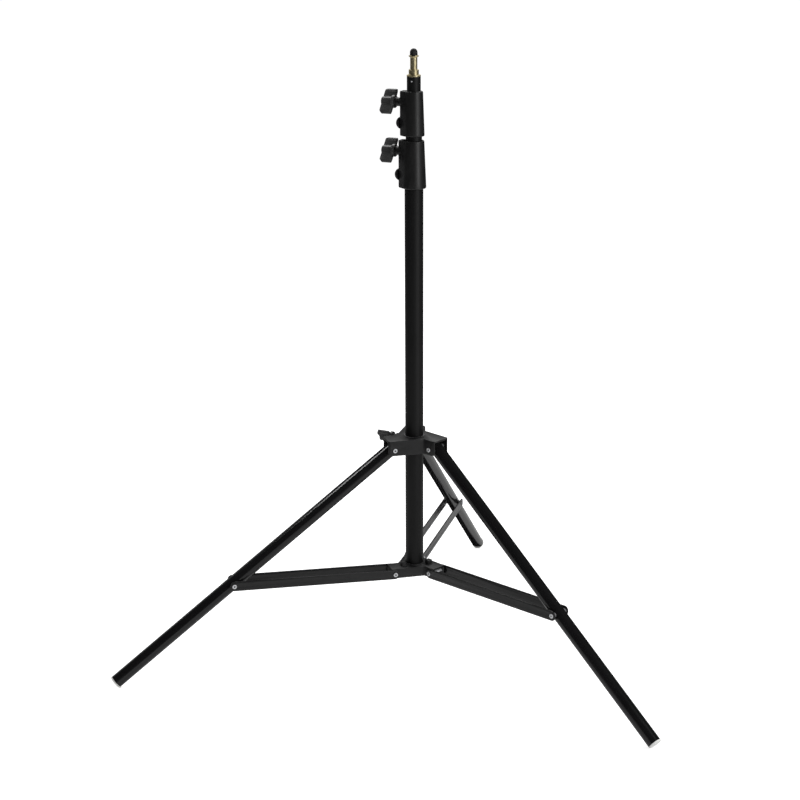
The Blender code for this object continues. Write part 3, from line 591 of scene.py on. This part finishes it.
for nodeName in ("upper_spider", "lower_spider"):
    softCopy("cast_" + nodeName, nodeName, casting, castingEdge[nodeName], castingEdge["segments"])
print("castings made")


# legs and braces

armNames = ("rear", "left", "right")
rivetLook = {"head": 0.00375, "rim": 0.00295, "height": 0.0015, "hollow": 0.0014, "depth": 0.0060,
             "shank": 0.0026}


def rivetHead(seat, shankEnd):
    # rolled head of a tubular rivet, hollow in the middle
    look = rivetLook
    top = seat + look["height"]
    return (
        [(look["shank"], shankEnd), (look["shank"], seat), (look["head"] - 0.0001, seat)]
        + arc(look["head"] - 0.0010, seat + 0.0005, 0.0010, 0, 90, 6)
        + [(look["rim"] - 0.0006, top)]
        + arc(look["hollow"] + 0.0005, top - 0.0005, 0.0005, 90, 180, 4)
        + [(look["hollow"], top - 0.0012), (look["hollow"] * 0.92, top - look["depth"] * 0.5)]
        + [(look["hollow"] * 0.8, top - look["depth"]), (0.0, top - look["depth"])]
    )


def paintHollowShade(mesh, tops):
    # the faces deep inside the rolled heads take the second finish, which paints the shade in the hole
    look = rivetLook
    for face in mesh.faces:
        centre = face.calc_center_median()
        inside = math.hypot(centre.x, centre.y) < look["hollow"] * 1.02
        deep = any(abs(centre.z) < abs(top) - 0.0009 and centre.z * top > 0 for top in tops)
        if inside and deep and abs(centre.z) > 1e-4:
            face.material_index = 1


def headPair(name, centre, axis, seat, body, node):
    # one rivet right through, with a head at each side
    profile = rivetHead(seat, 0.0)
    mirrored = [(radius, -height) for radius, height in reversed(profile)]
    mesh = spun(mirrored + profile, 40)
    top = seat + rivetLook["height"]
    paintHollowShade(mesh, (top, -top))
    turn = axis.to_track_quat("Z", "Y").to_matrix().to_4x4()
    return finishPiece(name, placed(mesh, Matrix.Translation(centre) @ turn), zinc, body, node, inner=hollow)


braceLook = {"edge": 0.0003, "widen": 1.25}


def strapCopy(name, node, material, start, end, axis):
    # the strap with its edges rounded, wider than the solid about the line between its holes
    along = (end - start).normalized()
    across = axis.cross(along).normalized()
    piece = softCopy(name, node, material, braceLook["edge"])
    for vertex in piece.data.vertices:
        vertex.co += across * across.dot(vertex.co - start) * (braceLook["widen"] - 1)
    return piece


plugLook = {"rim": 0.0014, "dish": 0.0006, "gatePoint": 0.0014}

for armName in armNames:
    legJoint = joints["leg_%s_hinge" % armName]
    axis = Vector(legJoint["axis"]).normalized()
    legBody = legJoint["child"]
    legTop = Vector(legJoint["pos_m"])
    legWay = (nodeMiddle("foot_plug_%s" % armName) - legTop).normalized()
    turn = tuple(legWay.to_track_quat("Z", "Y").to_euler())
    setFinish("leg_%s" % armName, tubePaint("leg paint %s" % armName, legPaintLook, turn))
    innerEnd, outerEnd = [nodeMiddle("brace_rivet_%s_%s" % (armName, side)) for side in ("inner", "outer")]
    braceEnd = (innerEnd + outerEnd) / 2
    braceStart = nodeMiddle("spider_rivet_%s" % armName)
    strapTurn = tuple((braceEnd - braceStart).normalized().to_track_quat("X", "Z").to_euler())
    strapFinish = strapPaint("strap paint %s" % armName, strapTurn)
    for side in ("inner", "outer"):
        strapCopy("rolled_strap_%s_%s" % (armName, side), "strap_%s_%s" % (armName, side),
                  strapFinish, braceStart, braceEnd, axis)

    for node, centre, body in (
        ("leg_rivet_%s" % armName, legTop, "upper_spider"),
        ("spider_rivet_%s" % armName, braceStart, "column"),
    ):
        seat = reachAlong(node, centre, axis)[1] - rivetLook["height"]
        headPair("rolled_" + node, centre, axis, seat, body, node)
    for side in ("inner", "outer"):
        node = "brace_rivet_%s_%s" % (armName, side)
        away = (nodeMiddle(node) - braceEnd).normalized()
        near, far = reachAlong(node, braceEnd, away)
        profile = [(0.0, near)] + rivetHead(far - rivetLook["height"], near)
        mesh = spun([point for point in profile if point[1] > far - rivetLook["depth"] or point[0] > 0], 40)
        paintHollowShade(mesh, (far,))
        place = Matrix.Translation(braceEnd) @ away.to_track_quat("Z", "Y").to_matrix().to_4x4()
        finishPiece("rolled_" + node, placed(mesh, place), zinc, "brace_%s" % armName, node, inner=hollow)

    # white end plug: soft rim, a shallow dish and the moulding point in its middle
    plugNode = "foot_plug_%s" % armName
    inside, end = reachAlong(plugNode, legTop, legWay)
    wide = radiusAbout(plugNode, legTop, legWay)
    shoulder = reachAlong("leg_%s" % armName, legTop, legWay)[1] + touchGap
    spigot = wide - 0.0015
    plug = (
        [(0.0, end - 0.0004), (0.0009, end - 0.0002), (plugLook["gatePoint"], end - 0.0008)]
        + [(wide * 0.56, end - plugLook["dish"]), (wide * 0.70, end)]
        + arc(wide - plugLook["rim"], end - plugLook["rim"], plugLook["rim"], 90, 0, 6)
        + [(wide, shoulder), (spigot, shoulder), (spigot, inside + 0.0010)]
        + [(spigot - 0.0010, inside), (0.0, inside)]
    )
    place = Matrix.Translation(legTop) @ legWay.to_track_quat("Z", "Y").to_matrix().to_4x4()
    finishPiece("end_plug_%s" % armName, placed(spun(plug, 56), place), whiteNylon, legBody, plugNode)
print("legs, braces and their rivets made")


# clamping knobs

knobLook = {
    "hub": 0.00715,
    "waist": 0.00300,
    "lobe": 0.0040,
    "flangeHeight": 0.0050,
    "flange": 0.0102,
    "hubRise": 0.0008,
    "tipTaper": 0.0036,
    "round": 0.0009,
    "fluteDepth": 0.00035,
    "wingOverlap": 0.0026,
    "swell": 0.75,
    "grooves": (0.56, 0.78),
    "grooveWidth": 0.045,
    "edge": 0.0008,
    "boreDepth": 0.0130,
}


def knobOutline(span):
    # hub that flows into two swelling lobes, each with two shallow grooves across it
    look = knobLook
    steps = 44
    upper = []
    for step in range(steps + 1):
        x = span * math.cos(math.pi * step / steps)
        share = abs(x) / span
        hub = math.sqrt(max((look["hub"] - 0.0002) ** 2 - x * x, 0.0))
        swell = math.sin(math.pi / 2 * min(1, share / look["swell"]))
        lobe = look["waist"] + (look["lobe"] - look["waist"]) * swell
        tip = math.sqrt(max(1 - share ** 8, 0.0))
        groove = 0.0
        for middle in look["grooves"]:
            groove += math.exp(-((share - middle) / look["grooveWidth"]) ** 2)
        blend = (hub ** 6 + (lobe * tip) ** 6) ** (1 / 6)
        upper.append((x, max(blend - look["fluteDepth"] * groove * tip, 0.0)))
    lower = [(x, -y) for x, y in reversed(upper[1:-1])]
    return upper + lower


def knobPlace(jointName, node):
    # Z away from the column along the screw, starting where the solid starts
    joint = joints[jointName]
    way = Vector(joint["axis"]).normalized()
    centre = Vector(joint["pos_m"])
    near, far = reachAlong(node, centre, way)
    azimuth = math.atan2(way.y, way.x)
    turned = Matrix.Rotation(azimuth, 4, "Z") @ Matrix.Rotation(math.pi / 2, 4, "Y")
    return Matrix.Translation(centre + way * near) @ turned, far - near


def lobeTurn(place, node):
    # the angle of the solid's own lobes about the screw, and how far they reach
    back = place.inverted()
    spots = [back @ vertex.co for vertex in nodes[node].data.vertices]
    tip = max(spots, key=lambda spot: math.hypot(spot.x, spot.y))
    span = math.hypot(tip.x, tip.y)
    far = [spot for spot in spots if math.hypot(spot.x, spot.y) > span * 0.97]
    angle = sum((math.atan2(spot.y, spot.x) % math.pi) for spot in far) / len(far)
    return angle, max(abs(spot.x * math.cos(angle) + spot.y * math.sin(angle)) for spot in spots)


def wingKnob(name, jointName, body, node):
    look = knobLook
    place, length = knobPlace(jointName, node)
    angle, span = lobeTurn(place, node)
    wingEnd = length - look["hubRise"]
    start = look["flangeHeight"] - look["wingOverlap"]
    mesh = bmesh.new()
    face = mesh.faces.new([mesh.verts.new((x, y, start)) for x, y in knobOutline(span)])
    lifted = bmesh.ops.extrude_face_region(mesh, geom=[face])["geom"]
    top = [item for item in lifted if isinstance(item, bmesh.types.BMVert)]
    bmesh.ops.translate(mesh, verts=top, vec=(0, 0, wingEnd - start))
    for side in (-1, 1):
        corner = Vector((side * span, 0, wingEnd - look["tipTaper"]))
        cutting = bmesh.ops.bisect_plane(
            mesh, geom=list(mesh.verts) + list(mesh.edges) + list(mesh.faces),
            plane_co=corner, plane_no=Vector((side, 0, 1)).normalized(), clear_outer=True)
        rim = [item for item in cutting["geom_cut"] if isinstance(item, bmesh.types.BMEdge)]
        bmesh.ops.holes_fill(mesh, edges=rim)
    bmesh.ops.recalc_face_normals(mesh, faces=mesh.faces)
    crisp = [edge for edge in mesh.edges
             if len(edge.link_faces) == 2 and edge.calc_face_angle(0) > math.radians(32)]
    bmesh.ops.bevel(mesh, geom=crisp, offset=look["round"], offset_type="OFFSET", segments=3,
                    profile=0.5, affect="EDGES", clamp_overlap=True, material=-1)
    edge = look["edge"]
    bore = radiusAbout(node.replace("knob", "knob_screw"), Vector(joints[jointName]["pos_m"]),
                       Vector(joints[jointName]["axis"]).normalized()) + touchGap
    hub = (
        [(bore, 0.0005)] + [(look["flange"] - edge, 0.0)]
        + arc(look["flange"] - edge, edge, edge, -90, 0, 4)
        + arc(look["flange"] - edge, look["flangeHeight"] - edge, edge, 0, 90, 4)
        + [(look["hub"] + 0.0010, look["flangeHeight"])]
        + arc(look["hub"] + 0.0010, look["flangeHeight"] + 0.0010, 0.0010, -90, -180, 4)
        + arc(look["hub"] - 0.0012, length - 0.0012, 0.0012, 0, 90, 5)
        + [(look["hub"] * 0.68, length), (look["hub"] * 0.64, length - 0.0005), (0.0, length - 0.0005)]
    )
    inner = [(bore, 0.0005), (bore, look["boreDepth"]), (0.0, look["boreDepth"])]
    shell = spun(list(reversed(inner)) + hub[1:], 60)
    addTo(mesh, shell)
    turn = Matrix.Rotation(angle, 4, "Z")
    return finishPiece(name, placed(mesh, place @ turn), litKnobPlastic, body, node)


for knobName in ("lower_knob", "upper_knob", "spider_knob"):
    jointName = knobName + "_turn"
    wingKnob("winged_" + knobName, jointName, knobName, knobName)
    washerNode = knobName + "_washer"
    place, thick = knobPlace(jointName, washerNode)
    way = Vector(joints[jointName]["axis"]).normalized()
    wide = radiusAbout(washerNode, Vector(joints[jointName]["pos_m"]), way)
    bore = radiusAbout(knobName + "_screw", Vector(joints[jointName]["pos_m"]), way) + touchGap
    washer = (
        [(bore, 0.0002), (bore + 0.0002, 0.0), (wide - 0.0004, 0.0)]
        + arc(wide - 0.0004, 0.0004, 0.0004, -90, 0, 3)
        + arc(wide - 0.0004, thick - 0.0004, 0.0004, 0, 90, 3)
        + [(bore + 0.0002, thick), (bore, thick - 0.0002), (bore, 0.0002)]
    )
    finishPiece("turned_" + washerNode, placed(spun(washer, 56), place), collarPlastic,
                nodes[washerNode]["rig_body"], washerNode)
print("knobs made")


# collars

collarLook = {
    "clampAzimuth": math.atan2(joints["lower_knob_turn"]["axis"][1], joints["lower_knob_turn"]["axis"][0]),
    "half": 0.00785,
    "corner": 0.0035,
    "topRound": 0.0021,
    "footRound": 0.00245,
    "neck": 0.00695,
    "rootFillet": 0.0022,
    "lower": {"top": 0.0166, "foot": 0.0198, "reach": 0.0247},
    "upper": {"top": 0.0146, "foot": 0.0171, "reach": 0.0219},
}


def collarRing(radius, reach, half, corner, height):
    # a round sleeve whose flanks run straight to a square-shouldered boss towards +X
    away = math.hypot(reach - corner, half - corner)
    start = math.atan2(half - corner, reach - corner) + math.acos((radius - corner) / away)
    points = []
    for step in range(73):
        angle = start + (math.tau - 2 * start) * step / 72
        points.append((radius * math.cos(angle), radius * math.sin(angle), height))
    for sign, first in ((-1, -start), (1, 0)):
        for step in range(9):
            angle = first + start * step / 8
            points.append((reach - corner + corner * math.cos(angle),
                           sign * (half - corner) + corner * math.sin(angle), height))
    return points


def roundRing(radius, outline, height):
    # as many points as the outline has, each in the same direction from the axis; beside the flanks,
    # which have no points between their ends, it is a straight chord that cuts into the tube
    ring = []
    for point in outline:
        angle = math.atan2(point[1], point[0])
        ring.append((radius * math.cos(angle), radius * math.sin(angle), height))
    return ring


def makeCollar(section, tubeBelow, tubeAbove):
    look = collarLook
    sizes = look[section]
    node = section + "_collar"
    low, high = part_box(node)[0].z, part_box(node)[1].z
    axis = Vector((0, 0, 1))
    below = radiusAbout(tubeBelow, Vector((0, 0, 0)), axis) + touchGap
    above = radiusAbout(tubeAbove, Vector((0, 0, 0)), axis) + touchGap
    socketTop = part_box(tubeBelow)[1].z + touchGap

    def outline(offset, height):
        # the sleeve tapers evenly from its foot to its top
        share = (height - low) / (high - low)
        radius = sizes["foot"] + (sizes["top"] - sizes["foot"]) * share
        return collarRing(radius - offset, sizes["reach"] - offset, look["half"] - offset,
                          look["corner"] - offset, height)

    rings = []
    foot, crown = look["footRound"], look["topRound"]
    for step in range(7):
        angle = math.pi / 2 * step / 6
        rings.append(outline(foot * (1 - math.sin(angle)), low + foot * 0.8 * (1 - math.cos(angle))))
    for step in range(1, 6):
        rings.append(outline(0.0, low + foot * 0.8 + (high - crown - low - foot * 0.8) * step / 6))
    for step in range(7):
        angle = math.pi / 2 * step / 6
        rings.append(outline(crown * (1 - math.cos(angle)), high - crown + crown * math.sin(angle)))
    guide = rings[0]
    rings.append(roundRing(above + 0.0005, guide, high - 0.0002))
    rings.append(roundRing(above, guide, high - 0.0007))
    rings.append(roundRing(above, guide, socketTop))
    rings.append(roundRing(below, guide, socketTop - 0.0003))
    rings.append(roundRing(below, guide, low + 0.0007))
    rings.append(roundRing(below + 0.0004, guide, low + 0.0002))
    mesh = lofted(rings)

    # the round neck that carries the clamping screw, with a soft root
    joint = joints[section + "_knob_turn"]
    way = Vector(joint["axis"]).normalized()
    reach = reachAlong(node, Vector((0, 0, 0)), way)[1]
    root = sizes["reach"] - 0.0002
    bore = radiusAbout(section + "_knob_screw", Vector(joint["pos_m"]), way) + touchGap
    neck = (
        [(bore, root - 0.0060), (look["neck"] + look["rootFillet"], root - 0.0060)]
        + [(look["neck"] + look["rootFillet"], root)]
        + arc(look["neck"] + look["rootFillet"], root + look["rootFillet"], look["rootFillet"], -90, -180, 6)
        + arc(look["neck"] - 0.0006, reach - 0.0006, 0.0006, 0, 90, 4)
        + [(bore + 0.0004, reach), (bore, reach - 0.0004), (bore, root - 0.0060)]
    )
    shape = spun(neck, 56)
    lift = Matrix.Translation((0, 0, joint["pos_m"][2])) @ Matrix.Rotation(math.pi / 2, 4, "Y")
    addTo(mesh, placed(shape, lift))
    turn = Matrix.Rotation(look["clampAzimuth"], 4, "Z")
    finishPiece("moulded_" + node, placed(mesh, turn), collarPlastic, nodes[node]["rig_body"], node)


makeCollar("lower", "lower_tube", "middle_tube")
makeCollar("upper", "middle_tube", "top_tube")
print("collars made")


# domed bolt heads of the collars

boltLook = {"height": 0.00785, "radius": 0.0100, "shank": 0.0026}


def makeBolt(nodeName):
    look = boltLook
    way = Vector((math.cos(collarLook["clampAzimuth"]), math.sin(collarLook["clampAzimuth"]), 0))
    start, reach = reachAlong(nodeName, Vector((0, 0, 0)), way)
    height, radius = look["height"], look["radius"]
    ball = (radius ** 2 + height ** 2) / (2 * height)
    spread = math.degrees(math.asin(radius / ball))
    dome = arc(0.0, reach - ball, ball, 90 - spread, 90, 16)
    dome[-1] = (0.0, reach)
    profile = (
        [(0.0, start), (look["shank"], start), (look["shank"], reach - height)]
        + [(radius - 0.0004, reach - height), (radius, reach - height + 0.0004)] + dome[1:]
    )
    middle = (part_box(nodeName)[0].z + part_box(nodeName)[1].z) / 2
    place = Matrix.Translation((0, 0, middle)) @ way.to_track_quat("Z", "Y").to_matrix().to_4x4()
    finishPiece("domed_" + nodeName, placed(spun(profile, 56), place), collarPlastic,
                nodes[nodeName]["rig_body"], nodeName)


makeBolt("lower_collar_bolt")
makeBolt("upper_collar_bolt")


# stud, its pin and the cap

studLook = {
    "flange": 0.0111, "flangeHeight": 0.0027,
    "land": 0.0080, "landHeight": 0.0082,
    "groove": 0.0057, "grooveHeight": 0.0199,
    "lipHeight": 0.0018,
    "thread": 0.0032, "threadTurns": 7,
    "edge": 0.0005, "steps": 72,
}


def makeStud():
    look = studLook
    low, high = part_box("stud")
    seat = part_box("top_tube")[1].z + touchGap
    flangeTop = seat + look["flangeHeight"]
    landTop = flangeTop + look["landHeight"]
    grooveTop = landTop + look["grooveHeight"]
    lipTop = grooveTop + look["lipHeight"]
    spigot = look["flange"] - 0.0015
    edge = look["edge"]
    land, groove, thread = look["land"], look["groove"], look["thread"]
    profile = (
        [(0.0, low.z), (spigot - edge, low.z), (spigot, low.z + edge), (spigot, seat)]
        + arc(look["flange"] - edge, seat + edge, edge, -90, 0, 3)
        + arc(look["flange"] - edge, flangeTop - edge, edge, 0, 90, 4)
        + arc(land + edge, flangeTop + edge, edge, -90, -180, 3)
        + arc(land - edge, landTop - edge, edge, 0, 90, 4)
        + arc(groove + edge, landTop + edge, edge, -90, -180, 4)
        + [(groove, grooveTop - 0.0012)]
        + [(groove + 0.0006, grooveTop - 0.0004), (land - edge, grooveTop)]
        + arc(land - 0.0004, grooveTop + 0.0006, 0.0004, -60, 0, 3)
        + arc(land - 0.0004, lipTop - 0.0004, 0.0004, 0, 90, 3)
        + [(thread, lipTop)]
    )
    # thread under the cap
    pitch = (high.z - lipTop - 0.0004) / look["threadTurns"]
    for turn in range(look["threadTurns"]):
        base = lipTop + 0.0002 + turn * pitch
        profile += [(thread - 0.0004, base), (thread, base + pitch * 0.42)]
        profile += [(thread, base + pitch * 0.55), (thread - 0.0004, base + pitch * 0.96)]
    profile += [(thread - 0.0006, high.z), (0.0, high.z)]
    finishPiece("turned_stud", spun(profile, look["steps"]), brass, nodes["stud"]["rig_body"], "stud")


makeStud()


capLook = {"radius": 0.0061, "ribs": 14, "ribDepth": 0.00036, "boreGap": 0.0003, "lid": 0.0022}


def makeCap():
    # a dome with upright grips that fade out towards the crown, open below over the thread
    look = capLook
    low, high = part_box("stud_cap")
    height = high.z - low.z
    radius = look["radius"]
    bore = studLook["thread"] + look["boreGap"]
    straight = height - radius
    ceiling = height - look["lid"]
    profile = [(0.0, ceiling), (bore, ceiling), (bore, 0.0003), (bore + 0.0003, 0.0)]
    profile += arc(radius - 0.0006, 0.0006, 0.0006, -90, 0, 4)
    for step in range(1, 7):
        profile.append((radius * (1 - 0.02 * step / 6), 0.0006 + (straight - 0.0006) * step / 6))
    for step in range(1, 13):
        angle = math.pi / 2 * step / 12
        profile.append((radius * 0.98 * math.cos(angle), straight + radius * math.sin(angle)))
    profile[-1] = (0.0, height)
    mesh = spun(profile, look["ribs"] * 8)
    for vertex in mesh.verts:
        away = math.hypot(vertex.co.x, vertex.co.y)
        if vertex.co.z < 0.0004 or away < bore + 0.0004:
            continue
        around = math.atan2(vertex.co.y, vertex.co.x)
        share = min(1, vertex.co.z / 0.0015) * min(1, away / radius) ** 2
        dip = look["ribDepth"] * share * (0.5 - 0.5 * math.cos(around * look["ribs"])) ** 2
        vertex.co.x *= 1 - dip / away
        vertex.co.y *= 1 - dip / away
    finishPiece("ribbed_cap", placed(mesh, Matrix.Translation((0, 0, low.z))), rubber,
                nodes["stud_cap"]["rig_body"], "stud_cap")


makeCap()


def makeStudPin():
    # its direction, length and radius come from the solid
    centre = nodeMiddle("stud_pin")
    points = [vertex.co for vertex in nodes["stud_pin"].data.vertices]
    far = max(points, key=lambda point: math.hypot(point.x, point.y) + point.y * -1e-3)
    tips = [point for point in points if (point - far).length < 0.0030]
    middle = sum(tips, Vector((0, 0, 0))) / len(tips)
    way = Vector((middle.x, middle.y, 0)).normalized()
    half = reachAlong("stud_pin", centre, way)[1]
    radius = radiusAbout("stud_pin", centre, way)
    dome = 0.0006
    ball = (radius ** 2 + dome ** 2) / (2 * dome)
    spread = math.degrees(math.asin(radius / ball))
    end = arc(0.0, half - ball, ball, 90 - spread, 90, 6)
    end[-1] = (0.0, half)
    profile = [(away, -height) for away, height in reversed(end)] + end
    place = Matrix.Translation(centre) @ way.to_track_quat("Z", "Y").to_matrix().to_4x4()
    finishPiece("polished_stud_pin", placed(spun(profile, 32), place), zinc,
                nodes["stud_pin"]["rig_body"], "stud_pin")


makeStudPin()
print("stud, cap and bolts made")


# room: floor, background, lamps, dark drapes and camera

roomLook = {
    "floorColour": 0.80, "glow": 0.74, "roomLight": 0.36,
    "nearDrape": 0.60, "whiteReach": 0.9, "darkFrom": 2.0,
    "clothRadius": 6, "wallRadius": 5, "wallHeight": 5, "wallMiddle": 2.4,
    # outline of the painted shadow under the rear leg, a dark sheet standing for the stand's shadow on the
    # floor
    "rearLegShadowSheet": ((-0.25, 0.05), (0.03, 0.05), (0.20, 0.75), (-0.05, 0.75)),
}

# place, target, size and watts of each lamp
lampLook = {
    "key softbox": ((2.2, -1.6, 2.1), (0, 0, 0.4), (1.2, 1.2), 22),
    "rim softbox": ((-2.0, 1.6, 0.9), (0, 0, 0.5), (0.8, 1.6), 2.5),
    "overhead softbox": ((0.2, 1.5, 2.7), (0, 0, 0.4), (2.2, 2.0), 50),
    "side softbox": ((1.7, -1.8, 0.6), (0, 0, 0.6), (0.6, 1.4), 11),
    "strip lamp": ((-1.62, 0.0, 1.95), (0, 0, 0.2), (0.16, 0.3), 2.2),
}


def stagedMesh(name, mesh):
    data = bpy.data.meshes.new(name)
    mesh.to_mesh(data)
    mesh.free()
    shown = bpy.data.objects.new(name, data)
    bpy.context.scene.collection.objects.link(shown)
    shown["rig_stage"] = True
    return shown


def seenDirectly(tree):
    # 1 for what the camera, a mirror or glass sees
    path = addNode(tree, "ShaderNodeLightPath")
    seen = mathOf(tree, "MAXIMUM", path.outputs["Is Camera Ray"], path.outputs["Is Glossy Ray"])
    return mathOf(tree, "MAXIMUM", seen, path.outputs["Is Transmission Ray"])


def makeFloor():
    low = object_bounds()[0].z
    mesh = bmesh.new()
    bmesh.ops.create_circle(mesh, cap_ends=True, radius=40, segments=96)
    bmesh.ops.translate(mesh, verts=mesh.verts, vec=(0, 0, low))
    floor = stagedMesh("studio floor", mesh)
    material, tree, shader = startFinish("studio floor")
    shader.inputs["Base Color"].default_value = (roomLook["floorColour"],) * 3 + (1,)
    shader.inputs["Roughness"].default_value = 0.9
    shader.inputs["Specular IOR Level"].default_value = 0.0
    shader.inputs["Emission Color"].default_value = (1, 1, 1, 1)
    tree.links.new(mathOf(tree, "MULTIPLY", seenDirectly(tree), roomLook["glow"]),
                   shader.inputs["Emission Strength"])
    floor.data.materials.append(material)
    return low


def makeWorld():
    world = bpy.data.worlds.new("studio")
    bpy.context.scene.world = world
    world.use_nodes = True
    tree = world.node_tree
    background = tree.nodes["Background"]
    background.inputs["Color"].default_value = (1, 1, 1, 1)
    tree.links.new(rangeOf(tree, seenDirectly(tree), roomLook["roomLight"], 1.0, 0, 1),
                   background.inputs["Strength"])


def makeDrape(name, mesh, faded=False):
    # a dark cloth that only shows in the gloss of the paint, as studio drapes do
    sheet = stagedMesh(name, mesh)
    for flag in ("visible_camera", "visible_diffuse", "visible_transmission", "visible_shadow"):
        setattr(sheet, flag, False)
    material, tree, shader = startFinish(name)
    shader.inputs["Base Color"].default_value = (0.01, 0.01, 0.01, 1)
    shader.inputs["Roughness"].default_value = 1.0
    shader.inputs["Specular IOR Level"].default_value = 0.0
    if faded:
        coordinates = addNode(tree, "ShaderNodeTexCoord")
        away = addNode(tree, "ShaderNodeVectorMath", operation="LENGTH")
        tree.links.new(coordinates.outputs["Object"], away.inputs[0])
        tree.links.new(rangeOf(tree, away.outputs["Value"], roomLook["nearDrape"], 1.0,
                               roomLook["whiteReach"], roomLook["darkFrom"]), shader.inputs["Alpha"])
    sheet.data.materials.append(material)


def addLamp(name, place, target, size, power):
    data = bpy.data.lights.new(name, "AREA")
    data.shape = "RECTANGLE"
    data.size, data.size_y = size
    data.energy = power
    lamp = bpy.data.objects.new(name, data)
    lamp.location = place
    lamp.rotation_euler = (Vector(target) - Vector(place)).to_track_quat("-Z", "Y").to_euler()
    bpy.context.scene.collection.objects.link(lamp)


def makeCloths(floorHeight):
    # one over the floor, one under the rear leg as a painted shadow that the leg's gloss shows, and one all
    # round the room
    look = roomLook
    cloth = bmesh.new()
    bmesh.ops.create_circle(cloth, cap_ends=True, radius=look["clothRadius"], segments=64)
    bmesh.ops.translate(cloth, verts=cloth.verts, vec=(0, 0, floorHeight + 0.005))
    makeDrape("floor cloth", cloth, faded=True)
    # painted shadow: a dark sheet under the rear leg, seen only in the leg's gloss, standing for the stand's
    # shadow on the floor
    shade = bmesh.new()
    shade.faces.new([shade.verts.new((x, y, floorHeight + 0.007)) for x, y in look["rearLegShadowSheet"]])
    makeDrape("painted shadow under rear leg", shade)
    walls = bmesh.new()
    bmesh.ops.create_cone(walls, cap_ends=True, segments=64, radius1=look["wallRadius"],
                          radius2=look["wallRadius"], depth=look["wallHeight"])
    bmesh.ops.translate(walls, verts=walls.verts, vec=(0, 0, floorHeight + look["wallMiddle"]))
    makeDrape("wall drapes", walls)


floorHeight = makeFloor()
makeWorld()
makeCloths(floorHeight)
for lampName, lamp in lampLook.items():
    addLamp(lampName, *lamp)

# the place is (x, y, z) in metres, the turn yaw, pitch and roll in degrees
cameraLook = {"lens": 79.98, "sensor": 36, "place": (-0.01751, -2.82028, 1.13822),
              "turn": (-0.124, 16.484, -0.225)}


def makeCamera():
    yaw, pitch, roll = [math.radians(value) for value in cameraLook["turn"]]
    ahead = Vector((math.sin(yaw) * math.cos(pitch), math.cos(yaw) * math.cos(pitch), -math.sin(pitch)))
    right = Vector((math.cos(yaw), -math.sin(yaw), 0))
    up = right.cross(ahead)
    rolledRight = math.cos(roll) * right + math.sin(roll) * up
    rolledUp = -math.sin(roll) * right + math.cos(roll) * up
    turn = Matrix((rolledRight, rolledUp, -ahead)).transposed().to_4x4()
    data = bpy.data.cameras.new("camera")
    data.lens = cameraLook["lens"]
    data.sensor_width = cameraLook["sensor"]
    data.sensor_fit = "HORIZONTAL"
    data.clip_start = 0.05
    data.clip_end = 200
    camera = bpy.data.objects.new("camera", data)
    camera.matrix_world = Matrix.Translation(cameraLook["place"]) @ turn
    bpy.context.scene.collection.objects.link(camera)
    bpy.context.scene.camera = camera


makeCamera()
bpy.context.scene.view_settings.view_transform = "Standard"
print("room, lamps and camera set")
